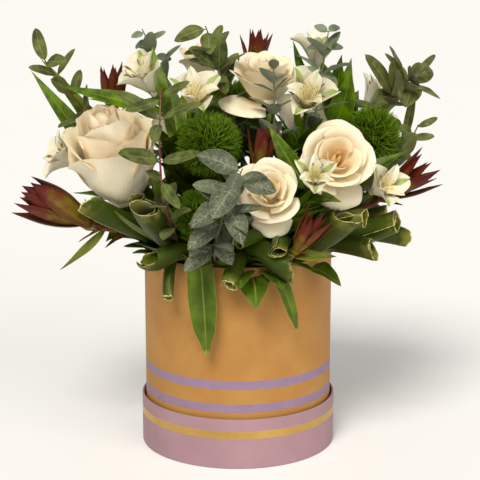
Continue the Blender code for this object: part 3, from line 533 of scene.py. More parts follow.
# %% Sections of box and lid
BOX_RADIUS, RIM_HEIGHT, BOARD = 82.5, 176.0, 1.8
LID_RADIUS, LID_HEIGHT, GAP = 86.0, 44.3, 0.35
ROUND_SIDES = 144


def cup_section(radius, low, high, soft=0.8):
    """Out along the floor, up the wall, over the soft rim and down inside."""
    inner, floor = radius - BOARD, low + BOARD
    arc = [(math.cos(a), math.sin(a)) for a in np.linspace(0, math.pi / 2, 5)]
    foot = [(radius - soft + soft * s, low + soft - soft * c) for c, s in arc]
    over = [(radius - soft + soft * c, high - soft + soft * s) for c, s in arc]
    back = [(inner + soft - soft * s, high - soft + soft * c) for c, s in arc]
    wall = [(radius, z) for z in np.linspace(low + soft, high - soft, 14)[1:-1]]
    inside = [(inner, high - 12), (inner, floor + 1), (inner - 1, floor), (radius * 0.4, floor)]
    return [(radius * 0.4, low), (radius * 0.8, low), *foot, *wall, *over, *back, *inside]


def cup_piece(name, radius, low, high, finish, node, slot):
    piece = Piece()
    piece.lathe(cup_section(radius, low, high), ROUND_SIDES)
    return piece.make(name, [finish], node, slot)


# %% [markdown]
# The paper has a linen grain, which the group "card weave" draws as crossing threads. The bands
# have a printed edge that wanders by a tenth of a millimetre. Patches of wear and a soft
# change of tone over the whole wall keep it from looking like plastic.

# %% Paper finishes
def band(height, low, high, edge=0.25):
    """1 between two heights in millimetres."""
    return height.step(low - edge, low + edge) * height.step(high + edge, high - edge)


def paper_finish(name, radius, ground, worn, bands, band_colour, foil=False):
    made, tree, surface = new_finish(name, roughness=0.62, specular_ior_level=0.35)
    weave = use(tree, card_weave, {"Radius": radius, "Thread": 0.85})
    x, y, z = object_place(tree).parts()
    height = z * 1000.0 + (noise(tree, 9.0, 2.0) - 0.5) * 0.5
    paper = mottled(tree, ground, 0.10, 26.0)
    paper = blend(weave["Wear"].step(0.35, 0.85) * 0.5, paper, worn)
    paper = blend(weave["Threads"].step(0.9, 0.3) * 0.16, paper, (0.02, 0.01, 0.01, 1.0))
    stripe = band(height, *bands[0])
    for low, high in bands[1:]:
        stripe = stripe.math("MAXIMUM", band(height, low, high))
    printed = mottled(tree, band_colour, 0.16, 14.0)
    colour = blend(stripe, paper, printed)
    seam = y.step(0.02, 0.03) * band(x * 1000.0, -0.35, 0.35, 0.2)
    colour = blend(seam * 0.5, colour, (0.05, 0.03, 0.02, 1.0))
    coat(surface, colour, weave["Threads"] - seam * 0.8 + stripe * 0.3, 0.35, 0.0004)
    if foil:
        grain = noise(tree, 0.8, 4.0)
        feed(stripe * (grain.step(0.25, 0.5) * 0.2 + 0.75), surface.inputs["Metallic"])
        feed(stripe * (grain * 0.3 - 0.42) + 0.62, surface.inputs["Roughness"])
    return made


MUSTARD, MUSTARD_WORN = tint(174, 130, 58), tint(190, 148, 76)
LILAC, LILAC_WORN, BAND_LILAC = tint(164, 128, 134), tint(178, 142, 146), tint(146, 120, 144)
GOLD = tint(206, 174, 92)
mustard_card = paper_finish(
    "mustard_card", BOX_RADIUS, MUSTARD, MUSTARD_WORN, [(49.3, 56.6), (69.7, 77.3)], BAND_LILAC)
lilac_card = paper_finish("lilac_card", LID_RADIUS, LILAC, LILAC_WORN, [(26.8, 33.5)], GOLD, True)
cup_piece("flower_box", BOX_RADIUS, BOARD + GAP, RIM_HEIGHT, mustard_card, "box", "mustard_card")
cup_piece("upturned_lid", LID_RADIUS, 0.0, LID_HEIGHT, lilac_card, "lid", "lilac_card")

# %% [markdown]
# ## Foam and film
#
# The foam block and the film that lines the box are already the right shape in the frame, down
# to the holes that the stems stand in, so they stay and only get their finish: the foam is a
# dark wet green with fine pores, and the film is clear and a little cloudy.

# %% Foam and film
flower_foam, tree, surface = new_finish("flower_foam", roughness=0.9, specular_ior_level=0.2)
pores = noise(tree, 0.9, 5.0, roughness=0.7)
green = mottled(tree, tint(38, 74, 40), 0.5, 5.0)
coat(surface, blend(pores.step(0.55, 0.35), green, tint(12, 30, 16)), pores, 0.9, 0.0008)

clear_film, tree, surface = new_finish(
    "clear_film", roughness=0.22, ior=1.49, transmission_weight=0.9)
cloudy = use(tree, mottling, {"Colour": tint(226, 232, 230), "Amount": 0.12, "Size": 12.0})
coat(surface, cloudy["Colour"], cloudy["Cloud"], 0.3, 0.0006)

for node, finish in (("foam", flower_foam), ("liner", clear_film)):
    solids[node].data.materials.clear()
    solids[node].data.materials.append(finish)
    print(node, "keeps its shape and gets", finish.name)

# %% [markdown]
# ## Where the stems stand
#
# Each stem of the frame found its own free place in the foam. Nothing has to be guessed to
# follow it: the lowest corners of a solid lie round the foot of its stem, and the foam's top is
# at a known height. For a leaf that was bent clear of its neighbours, the possible bends are
# tried again, and the one whose tip and sides lie on corners of the solid is the right one.
# A tree of points answers how far a point is from the nearest corner.

# %% Feet and corners
FOAM_HEIGHT, STEM_DEPTH = 168.0, 42.0


def corners_of(node):
    mesh = solids[node].data
    points = np.empty(len(mesh.vertices) * 3, np.float32)
    mesh.vertices.foreach_get("co", points)
    return points.reshape(-1, 3).astype(float) / MM


def cell_of(node):
    """The place on the foam where a node's stem enters it."""
    points = corners_of(node)
    low = points[np.abs(points[:, 2] - (FOAM_HEIGHT - STEM_DEPTH)) < 0.5]
    middle = (low.min(0) + low.max(0)) / 2
    return np.array((middle[0], middle[1], FOAM_HEIGHT))


class Corners:
    """Measures how far marks lie from the corners of one solid."""

    def __init__(self, node):
        points = corners_of(node)
        self.tree = KDTree(len(points))
        for k, point in enumerate(points):
            self.tree.insert(point, k)
        self.tree.balance()

    def best(self, ways, marks, near=0.4):
        """The way whose marks lie nearest to corners, or None where none comes close."""
        ways, scores = list(ways), []
        for way in ways:
            found = [self.tree.find(mark)[2] for mark in marks(way)]
            scores.append(sum(found) / len(found))
        k = int(np.argmin(scores))
        return ways[k] if scores[k] < near else None


def stem_line(cell, end, arrival, count=14):
    """From the foam's top straight up and in a curve to the end, which it meets squarely."""
    end, arrival = np.array(end, float), unit(arrival)
    reach, last = np.linalg.norm(end - cell), end - arrival * 4
    way = curve((cell, cell + UP * reach * 0.4, last - arrival * reach * 0.3, last), count)
    return np.concatenate([way, end[None]])


def from_foot(cell, way):
    """A stem's way with its foot, deep in the foam, set before it."""
    return np.concatenate([(cell - UP * STEM_DEPTH)[None], way])


print("rose_top stands at", cell_of("rose_top_stem").round(1))

# %% [markdown]
# ## Rose petals
#
# A rose is a nest of petals. Each is a piece of a cup: it stands up from the base, bulges and
# either closes over the heart or opens outward, and its edge rolls back. One number, the share,
# runs from 0 at the heart to 1 outside and sets how far a petal leans. Petals follow each other
# by the golden angle, so no two lie in line, as on the real flower.
# The lean along a petal is added up in small steps, which gives the cup's section, and the sheet
# is that section swept through an angle. Towards the edge the lean grows fast, so the edge rolls
# back, most of all at its corners. A heart has tight petals, then comes a step to the wide ones.

# %% Rose tables
# Head: place of its base, axis, radius, lean of the outer petals halfway up and at their edge,
# turn, and the ways in which single petals hang down.
ROSES = {
    "rose_left": ((-98, -26, 220), (-0.16, -0.34, 0.93), 42, 0, 6, 20, ()),
    "rose_top": ((24, 4, 302), (0.06, -0.22, 0.97), 33, 10, 40, 200, ((-0.9, -0.7, 0),)),
    "rose_right": ((79, -38, 252), (0.14, -0.88, 0.45), 37, 18, 58, 75, ((0.2, 0, -1),)),
    "rose_small": ((25, -72, 231), (0.02, -0.86, 0.50), 31, 14, 52, 150, ((0.1, 0, -1),)),
    "rose_back_left": ((-30, 42, 317), (-0.12, -0.12, 0.98), 22, 4, 24, 300, ()),
    "rose_rear_left": ((-44, 82, 250), (-0.35, 0.72, 0.60), 35, 14, 50, 40, ()),
    "rose_rear_right": ((58, 72, 260), (0.35, 0.70, 0.62), 36, 14, 50, 250, ()),
}
# What sets each head apart: petals of the heart, petals round it, how far their edges roll back
# in degrees, how far the heart is raised, how crumpled the petals are, how much painted glow of
# light the heart gets, by how much the outermost petals are shorter, and how far the petals
# reach past the plain head.
HEAD_FORMS = {
    "rose_left": (12, 11, 60, 0.20, 1.3, 0.30, 0.22, 1.13),
    "rose_top": (4, 8, 55, 0.0, 0.25, 0.2, 0.0, 1.04),
    "rose_right": (4, 9, 75, 0.0, 0.3, 0.9, 0.0, 1.0),
    "rose_small": (6, 8, 95, 0.10, 0.35, 0.7, 0.0, 1.0),
    "rose_back_left": (4, 6, 50, 0.1, 0.3, 0.5, 0.0, 1.0),
    "rose_rear_left": (6, 10, 85, 0.0, 0.3, 0.7, 0.0, 1.0),
    "rose_rear_right": (6, 10, 85, 0.0, 0.3, 0.7, 0.0, 1.0),
}
print(len(ROSES), "roses")

# %% Rose petals
def added_up(steps):
    """The sum of the steps before each point of a line, from nothing at its start."""
    return np.concatenate([np.zeros_like(steps[:1]), np.cumsum(steps, axis=0)])


def phase(rng):
    """Where a random wave starts; 6.3 is once round."""
    return rng.uniform(0, 6.3)


def petal_lean(s, share, middle, opening):
    """Degrees by which a petal leans out, from its root at 0 to its edge at 1."""
    first, second, last = 10 + 68 * share, 2 + middle * share, -24 + (opening + 24) * share
    return first * (1 - s) ** 2 + 2 * second * s * (1 - s) + last * s * s


def petal_sheet(share, half_angle, radius, middle, opening, form, rng, rows=22, columns=17):
    roll, raised, crumpled, shorter = form
    t, v = np.linspace(0, 1, rows)[:, None], np.linspace(-1, 1, columns)[None]
    corner, notch = rng.uniform(0.14, 0.26), rng.uniform(-0.04, 0.05)
    s = t * (1 - corner * np.abs(v) ** 2.4 - notch * np.exp(-(v / 0.2) ** 2))
    outside = 0.25 + 0.75 * share
    near_edge = np.clip(t * 3.4 - 2.4, 0, 1) ** 1.4
    rolled = roll * outside * rng.uniform(0.6, 1.2) * (0.6 + 0.5 * v * v) * near_edge
    lean = np.radians(petal_lean(s, share, middle, opening) + rolled)
    lean = (lean[1:] + lean[:-1]) / 2
    full = np.sin(np.radians(petal_lean(np.linspace(0.04, 0.96, 12), 1, middle, opening))).mean()
    reach = 0.80 + 0.20 * min(1, share) - shorter * share ** 2
    step = np.diff(s, axis=0) * 0.92 * radius / full * reach
    r = radius * (0.03 + 0.04 * share) + added_up(np.sin(lean) * step)
    z = radius * (0.03 + 0.12 * max(0, 1 - share)) + added_up(np.cos(lean) * step)
    ruffle = 0.020 * outside * t ** 3 * (
        np.sin(v * rng.uniform(3.5, 5.5) + phase(rng))
        + 0.45 * np.sin(v * rng.uniform(9, 13) + phase(rng)))
    for _ in range(3):
        ruffle = ruffle + crumpled * 0.014 * t * np.sin(
            v * rng.uniform(-9, 9) + t * rng.uniform(6, 15) + phase(rng))
    ruffle = radius * ruffle * np.minimum(1, r / (0.3 * radius))
    spread = half_angle * v * (0.3 + 0.7 * np.minimum(1, 2 * t))
    r = (r + ruffle) * (1 + 0.07 * v * (1 - 0.5 * share))
    z = z + ruffle * 0.5 + radius * raised * (1 - share) * t
    return np.stack([r * np.cos(spread), r * np.sin(spread), z], axis=-1)


print("an outer petal leans", petal_lean(np.array((0, 0.5, 1)), 1, 18, 58), "degrees")

# %% [markdown]
# Cream petals are almost white outside. Towards the heart they turn peach, a painted glow that
# stands in for the light that passes through many layers there, and each petal is painted a
# darker warm glow towards its base, deep in the cup. Their base is greenish, fine veins run up
# from it, and the thin edge has dried to a pale tan here and there. A little light passes
# through, which the shader's subsurface value gives.

# %% Petal finishes
def petal_finish(name, pale, heart, base, dried, painted_glow):
    made, tree, surface = new_finish(
        name, roughness=0.52, specular_ior_level=0.3, subsurface_weight=0.22,
        subsurface_radius=(0.9, 0.75, 0.45), subsurface_scale=0.003, sheen_weight=0.06)
    sheet, _, along, share, chance = sheet_place(tree)
    lines = vein_lines(sheet, 22.0)
    # Painted light: peach towards the heart and a darker warm tone towards each petal's base stand
    # in for light that passes through the layers deep in the cup.
    skin = blend(share.step(0.75, 0.0) * 0.9, pale, heart)
    skin = blend(along.step(0.75, 0.05) * 0.45, skin, painted_glow)
    skin = blend(along.step(0.22, 0.0) * share * 0.6, skin, base)
    skin = mottled(tree, skin, 0.07, 9.0, chance)
    skin = blend(lines.step(0.45, 0.9) * 0.07, skin, dried)
    edge = edge_of(sheet, 0.035, 0.03, 1.0)
    patches = noise(tree, 11.0, 2.0).step(0.5, 0.68)
    skin = blend(edge * patches * 0.7, skin, dried)
    coat(surface, skin, lines * 0.6 + noise(tree, 3.0, 3.0) * 0.8, 0.22, 0.0007)
    return made


cream_petal = petal_finish("cream_petal", tint(252, 238, 206), tint(248, 208, 144),
                           tint(210, 200, 118), tint(206, 156, 76), tint(248, 218, 160))

LEAF_GLOSS = (1.0, 0.92, 0.62, 1.0)    # fresh leaves reflect a little yellow of their own
green_stem, tree, surface = new_finish("green_stem", roughness=0.5, specular_tint=LEAF_GLOSS,
                                       subsurface_weight=0.05, subsurface_scale=0.002)
sheet, _, _, _, chance = sheet_place(tree)
lines = vein_lines(sheet, 7.0)
skin = mottled(tree, tint(78, 100, 24), 0.3, 7.0, chance)
coat(surface, blend(lines.step(0.4, 0.9) * 0.3, skin, tint(120, 132, 60)), lines, 0.35, 0.0005)
print("finishes:", cream_petal.name, green_stem.name)

# %% [markdown]
# ## Rose heads
#
# Each head is a nest of petals round a small base. The petals of the heart wrap each other
# tightly, and the wide ones round it are few, so that each one shows as a sheet of its own.
# The stem follows later, when there are trees of the solids to keep its leaves clear of.

# %% Rose heads
# For the loose petals that hang from a head: by how much more they lean out in the middle and
# at the edge, in degrees, then half their width in degrees and their reach.
LOOSE_PETALS = {"rose_top": (40, 46, 52, 1.22)}
PLAIN_LOOSE_PETAL = (22, 14, 40, 1.0)


def rose_head(name, row):
    base, direction, radius, middle, opening, turn, hanging = row
    rng = np.random.default_rng(int(radius * 10 + turn))
    spin, origin, piece = heading(direction, turn), np.array(base, float), Piece()
    # The sixth form sets how much of the painted peach glow the heart gets.
    inner, outer, roll, raised, crumpled, painted_glow, shorter, past = HEAD_FORMS[name]
    form, radius = (roll, raised, crumpled, shorter), radius * past
    shares = [*np.linspace(0.0, 0.30, inner), *np.linspace(0.44, 1.0, outer)]
    core = [(0.06, -0.01), (0.10, 0.0), (0.26, 0.05), (0.28, 0.14), (0.22, 0.24), (0.05, 0.36)]
    piece.lathe([(w * radius, h * radius) for w, h in core], 12, (1 - painted_glow, 0.5), 0, spin, origin)
    for k, share in enumerate(reversed(shares)):
        half = math.radians(96 - 42 * share) * rng.uniform(0.92, 1.08)
        grid = petal_sheet(share, half, radius * rng.uniform(0.94, 1.0), middle, opening, form, rng)
        grid = turned(grid, GOLDEN_TURN * k + rng.uniform(-0.1, 0.1))
        piece.sheet(grid @ spin.T + origin, 0.5, (1 - painted_glow * (1 - share), rng.random()), 0)
    for way in hanging:
        local = spin.T @ np.array(way, float)
        belly, edge, half, reach = LOOSE_PETALS.get(name, PLAIN_LOOSE_PETAL)
        grid = petal_sheet(1.22, math.radians(half), radius * reach, middle + belly,
                           opening + edge, form, rng)
        grid = turned(grid, math.atan2(local[1], local[0]))
        piece.sheet(grid @ spin.T + origin, 0.6, (1, rng.random()), 0)
    piece.make(name + "_petals", [cream_petal], name, "cream_petal")


for name, row in ROSES.items():
    rose_head(name, row)

# %% [markdown]
# ## Green tufts
#
# The green balls are a dianthus that has no petals, only hundreds of fine green bristles. Hair
# would be the quick way to make them, but real geometry looks the same from every side and can
# be used anywhere. So each tuft gets a few thousand slim three-sided bristles that start deep
# inside, bend a little to one side and end near the surface of the ball. All of them are worked
# out at once as arrays. Each bristle is painted near black where it starts, as painted shade
# deep inside the tuft.

# %% Tuft finish
tufted_green, tree, surface = new_finish(
    "tufted_green", roughness=0.6, specular_ior_level=0.25, specular_tint=LEAF_GLOSS,
    subsurface_weight=0.08, subsurface_scale=0.002)
_, _, along, _, chance = sheet_place(tree)
# Painted shade: near black where a bristle starts inside the ball and green towards its tip; the
# inner ball is darkened towards its bottom the same way.
painted_inner_shade = blend(along.step(0.15, 1.0), tint(8, 22, 2), tint(88, 124, 14))
fresh = blend(chance.step(0.75, 1.0) * along, painted_inner_shade, tint(128, 154, 34))
coat(surface, mottled(tree, fresh, 0.30, 16.0, chance), noise(tree, 1.0, 2.0), 0.2, 0.0003)
print("finish:", tufted_green.name)

# %% Tufts
# Centre and radius of each tuft.
DIANTHUS = {
    "dianthus_middle": ((-24, -48, 274), 30),
    "dianthus_low": ((-34, -78, 221), 22),
    "dianthus_right": ((117, 6, 274), 28),
    "dianthus_rear": ((4, 84, 288), 28),
}
BRISTLES, BRISTLE_CORNERS = 2600, 12    # four rings of three corners to a bristle


def seed_spiral(count):
    """Directions spread evenly over a ball, as seeds are in a seed head."""
    k = np.arange(count)
    height = 1 - 2 * (k + 0.5) / count
    flat, angle = np.sqrt(1 - height ** 2), GOLDEN_TURN * k
    return np.stack([flat * np.cos(angle), flat * np.sin(angle), height], axis=-1)


def bristles(piece, centre, radius, rng, count=BRISTLES):
    out = unit(seed_spiral(count) + rng.normal(0, 0.07, (count, 3)))
    lean = unit(np.cross(out, rng.normal(0, 1, (count, 3)))) * rng.uniform(0.05, 0.34, (count, 1))
    lean = lean + UP * 0.12
    levels = np.array((0.0, 0.45, 0.8, 1.0))
    start, end = radius * 0.50, radius * rng.uniform(0.84, 1.0, (count, 1, 1))
    reach = start + (end - start) * levels[None, :, None]
    line = reach * unit(out[:, None] + lean[:, None] * (levels ** 2)[None, :, None])
    side = unit(np.cross(out, lean))[:, None]
    lift = np.cross(out, side[:, 0])[:, None]
    width = np.array((0.46, 0.42, 0.26, 0.06))[None, :, None] * rng.uniform(0.8, 1.2, (count, 1, 1))
    rings = np.stack([line + width * (math.cos(a) * side + math.sin(a) * lift)
                      for a in round_angles(3)], axis=2)
    points = (rings + np.array(centre, float)).reshape(-1, 3)
    first = piece.place(points) + np.arange(count)[:, None, None] * BRISTLE_CORNERS
    ring, corner = np.arange(3)[None, :, None], np.arange(3)[None, None, :]
    a, b = first + ring * 3 + corner, first + ring * 3 + (corner + 1) % 3
    faces = np.stack([a, b, b + 3, a + 3], axis=-1).reshape(-1, 4)
    low = np.broadcast_to(levels[:-1][None, :, None], a.shape).reshape(-1)
    high = np.broadcast_to(levels[1:][None, :, None], a.shape).reshape(-1)
    spots = np.stack([np.stack([np.full_like(low, u), h], axis=-1) for u, h in
                      ((0, low), (1, low), (1, high), (0, high))], axis=1)
    chance = np.repeat(rng.random(count), faces.size // count)
    piece.cover(faces, spots, np.stack([np.ones(faces.size), chance], axis=-1), 0)
    tips = first[:, 0] + np.arange(BRISTLE_CORNERS - 3, BRISTLE_CORNERS)
    piece.cover(tips, np.tile((0.5, 1.0), (tips.size, 1)), (1, 0.5), 0)


def tuft(name, row, seed):
    (centre, radius), rng, piece = row, np.random.default_rng(seed), Piece()
    heights = np.linspace(-0.98, 0.98, 12)
    ball = [(radius * 0.56 * math.sqrt(1 - h * h), radius * 0.56 * h) for h in heights]
    piece.lathe(ball, 20, (0, 0.3), 0, None, centre)
    bristles(piece, centre, radius, rng)
    inward = unit((centre[0], centre[1], radius * 2.5))
    cell, end = cell_of(name), np.array(centre) - inward * radius * 0.4
    way = stem_line(cell, end, inward)
    piece.tube(from_foot(cell, way), 2.2, 9, (0, 0.4), 1)
    piece.make(name + "_bristles", [tufted_green, green_stem], name, "tufted_green")


grow(tuft, DIANTHUS)

# %% [markdown]
# ## Leaves and how they were bent
#
# A leaf is a sheet that is folded along its midrib, droops along its length and waves a little
# at its edge. In the frame each leaf was bent from its drawn place only as far as it had to be
# to stay clear of its neighbours. The same bends are tried here and compared with the corners
# of the solid, so the fine leaf grows exactly where the plain one does.

# %% Leaf shapes
def oval(t):
    """The half width of a leaf along its length."""
    return np.sin(np.pi * np.clip(t, 0, 1) ** 0.8) ** 0.8


def leaf_sheet(root, direction, lift, length, width, t, v, droop=0.12, fold=0.16, outline=oval):
    """Points of a leaf that is folded along its midrib and droops along its length."""
    side = np.cross(direction, lift)
    half = width / 2 * outline(t)
    middle = root + direction * (length * t)[..., None] - lift * (length * droop * t * t)[..., None]
    return middle + side * (half * v)[..., None] + lift * (half * np.abs(v) * fold * 2)[..., None]


def blunt(t):
    """The half width of a leaf with round ends."""
    return np.sqrt(np.clip(1 - (2 * np.clip(t, 0, 1) ** 0.92 - 1) ** 2, 0, 1)) ** 1.1


def grid_of(rows, columns):
    """Along a sheet from 0 to 1, and across it from -1 to 1, at each point of a grid."""
    return np.meshgrid(np.linspace(0, 1, rows), np.linspace(-1, 1, columns), indexing="ij")


def lance(t):
    """A long leaf that is widest below its middle and runs out to a fine tip."""
    return np.sin(np.pi * np.clip(t, 0, 1) ** 0.66) ** 1.05


def round_leaf(t):
    return np.sin(np.pi * np.clip(t, 0, 1) ** 0.82) ** 0.62


print("half widths of a lance leaf", lance(np.linspace(0, 1, 5)).round(2))

# %% Bends
def bends():
    """Leans as pitch, yaw and scale, the least first."""
    for scale in (1, 0.85, 0.7, 0.55):
        yield 0.0, 0.0, scale
        for lean in (10, 20, 32, 46, 62):
            for k in range(8):
                way = k * math.pi / 4
                yield math.radians(lean) * math.cos(way), math.radians(lean) * math.sin(way), scale


def leaned(pitch, yaw, side, lift):
    """The matrix that leans a leaf by a pitch about its side and by a yaw about its lift."""
    about_lift = Matrix.Rotation(yaw, 3, Vector(lift))
    return np.array(about_lift @ Matrix.Rotation(pitch, 3, Vector(side)))


def found_leaf(node, root, direction, lift, length, width, stations=3):
    """Root, direction, lift, length and width of the leaf that the frame grew, or None."""
    side = np.cross(direction, lift)
    t = np.array((1, 1 / stations, 1 / stations))
    v = np.array((0, -1, 1))

    def ways():
        for pitch, yaw, scale in bends():
            turn = leaned(pitch, yaw, side, lift)
            yield root, turn @ direction, turn @ lift, length * scale, width * scale

    def marks(leaf):
        return leaf_sheet(*leaf, t, v)

    return node.best(ways(), marks)


def snapped(paths, drawn):
    """The point of some paths that is nearest to a drawn one."""
    found = []
    for path in paths:
        for a, b in zip(path, path[1:]):
            _, share = intersect_point_line(Vector(drawn), Vector(a), Vector(b))
            found.append(a + (b - a) * min(1, max(0, share)))
    return min(found, key=lambda p: np.linalg.norm(p - np.array(drawn)))


def drawn_leaves(paths, drawn, node, name):
    """The leaves that were drawn one by one as root, tip and width."""
    made = []
    for root, tip, width in drawn:
        start = snapped(paths, root)
        reach = np.array(tip, float) - start
        ahead = unit(reach)
        lift = square_to(np.array((0, -0.8 if start[1] < 40 else 0.8, 0.6)), ahead)
        length = np.linalg.norm(reach)
        leaf = found_leaf(node, start, ahead, lift, length, width, 3 if length > 30 else 2)
        if leaf is None:
            print("no drawn leaf of", name, "to", tip)
        else:
            made.append(leaf)
    return made


print(len(list(bends())), "bends are tried for each leaf")

# %% Fine leaves
LEAF_ROWS, LEAF_COLUMNS = 18, 9


def fine_leaf(leaf, rng, wave=0.05, curl=0.4, outline=lance, stalk=0.04, rows=LEAF_ROWS,
              droop=0.12, fold=0.16):
    root, direction, lift, length, width = leaf
    t, v = grid_of(rows, LEAF_COLUMNS)

    def with_stalk(t):
        leafy = outline(np.clip((t - stalk) / (1 - stalk), 0, 1))
        return np.maximum(leafy, 0.7 / width) * np.clip((1.004 - t) * 30, 0.1, 1)

    grid = leaf_sheet(root, direction, lift, length, width, t, v, droop, fold, with_stalk)
    ripple = np.sin(t * rng.uniform(9, 14) + phase(rng) + v * 0.8) * np.abs(v) ** 1.5
    bow = np.sin(np.pi * t) * rng.uniform(-0.05, 0.05) * length
    side = np.cross(direction, lift)
    middle = grid[:, LEAF_COLUMNS // 2, None]
    twist = curl * (t - 0.3) * rng.uniform(-1, 1)
    across = grid - middle
    grid = middle + (across + np.cross(direction, across) * twist[..., None])
    ripple = ripple * width * wave * np.sin(np.pi * t)
    grid = grid + lift * ripple[..., None] + side * bow[..., None]
    return kept_inside(grid, t)


def kept_inside(grid, t, margin=0.8):
    """Bends a leaf's far end back where it would reach out of the frame's box."""
    low, high = np.array(frame_box) / MM
    for _ in range(12):
        beyond = np.maximum(grid - (high - margin), 0) - np.maximum((low + margin) - grid, 0)
        worst = beyond.max((0, 1)) + beyond.min((0, 1))
        grid = grid - worst * t[..., None]
    return grid


print("a fine leaf has", 4 * (LEAF_ROWS - 1) * (LEAF_COLUMNS - 1), "triangles")

# %% [markdown]
# ## Leucadendrons
#
# A leucadendron looks like a flower, but its "petals" are stiff leaves, called bracts, that
# stand in a spiral round a small cone. They are olive where they start and turn to burgundy at
# their edges and tips. Bracts further out are longer and lean out more, so the same share as
# for the rose, from heart to outside, decides length, width and lean.

# %% Bract finish
burgundy_bract, tree, surface = new_finish("burgundy_bract", roughness=0.48, specular_ior_level=0.2,
                                           subsurface_weight=0.06, subsurface_scale=0.002)
sheet, _, along, share, chance = sheet_place(tree)
edge = edge_of(sheet, 0.26, 0.2, 0.6)
lines = vein_lines(sheet, 9.0)
flush = (along + (noise(tree, 9.0, 2.0) - 0.5) * 0.9 + (chance - 0.5) * 0.35).step(0.2, 0.72)
skin = blend(flush, tint(112, 98, 22), tint(98, 32, 14))
skin = blend(along.step(0.55, 1.0) * 0.6, skin, tint(56, 14, 10))
skin = blend(edge * 0.6, skin, tint(78, 20, 12))
skin = blend(lines.step(0.5, 0.95) * 0.22, skin, tint(128, 64, 34))
leafy = share.step(1.2, 1.6) * along.step(1.1, 0.7)
skin = blend(leafy * 0.85, skin, tint(98, 112, 30))
skin = mottled(tree, skin, 0.22, 4.0, chance)
coat(surface, skin, lines + noise(tree, 1.4, 3.0) * 0.5, 0.3, 0.0006)


def bark_finish(name, ground, patches):
    made, tree, surface = new_finish(name, roughness=0.5)
    bark = use(tree, mottling, {"Colour": ground, "Amount": 0.35, "Size": 5.0})
    coat(surface, blend(noise(tree, 12.0, 2.0).step(0.5, 0.75) * 0.7, bark["Colour"], patches),
         bark["Cloud"], 0.4, 0.0005)
    return made


red_stem = bark_finish("red_stem", tint(118, 60, 36), tint(118, 116, 56))
dusty_stem = bark_finish("dusty_stem", tint(112, 112, 84), tint(116, 86, 58))
print("finishes:", burgundy_bract.name, red_stem.name, dusty_stem.name)

# %% Leucadendron table
# Base of the head, axis, length, width, turn, and leaves as root, tip and width.
LEUCADENDRONS = {
    "leucadendron_left": (
        (-124, -45, 205), (-0.88, -0.06, 0.46), 72, 32, 0,
        [((-112, -42, 198), (-160, -60, 186), 8)],
    ),
    "leucadendron_back_left": ((-110, 14, 290), (0.02, 0.05, 0.99), 50, 26, 30, []),
    "leucadendron_middle": ((17, -62, 250), (0.14, 0.16, 0.97), 48, 22, 12, []),
    "leucadendron_front": (
        (45, -99, 191), (0.54, -0.16, 0.83), 50, 18, 50, [((44, -97, 186), (74, -118, 192), 11)],
    ),
    "leucadendron_right": (
        (125, -4, 219), (0.80, -0.14, 0.58), 60, 28, 20, [((112, -4, 210), (148, 20, 238), 9)],
    ),
    "leucadendron_rear": ((14, 56, 320), (0.08, 0.20, 0.97), 46, 26, 0, []),
}
# Width of the bracts as a share of the usual, their number, and the degrees by which their tips
# lean out more.
FULL_HEAD, SLIM_HEAD = (1.3, 15, -9.0), (0.85, 10, 4.0)
STEM_LEAVES = 6
print(len(LEUCADENDRONS), "leucadendrons")

# %% Leucadendron heads
def bract_sheet(length, width, share, slim, spare, rng, rows=14, columns=7):
    t, v = grid_of(rows, columns)
    steps = np.linspace(0, 1, rows)
    first, last = 8 + 32 * share, spare - 3 + 7 * share + rng.uniform(-3, 5 + abs(spare))
    lean = np.radians(first + (last - first) * np.minimum(1, 1.5 * steps))
    reach = length * (0.90 + 0.05 * share) / (rows - 1)
    r = width * 0.05 + added_up(np.sin(lean[:-1])) * reach
    z = length * 0.05 + added_up(np.cos(lean[:-1])) * reach
    half = width * (0.17 + 0.10 * share) * slim * (0.35 + 0.65 * np.sin(np.pi * steps ** 0.75)) \
        * np.clip((1 - steps) * 4, 0.02, 1) ** 0.7
    r, z, half = r[:, None], z[:, None], half[:, None]
    cup = 0.38 * half * v ** 2
    tip = width * 0.05 * t ** 4 * rng.uniform(-0.4, 1.0)
    return np.stack(np.broadcast_arrays(r - cup + tip, half * v, z), axis=-1)


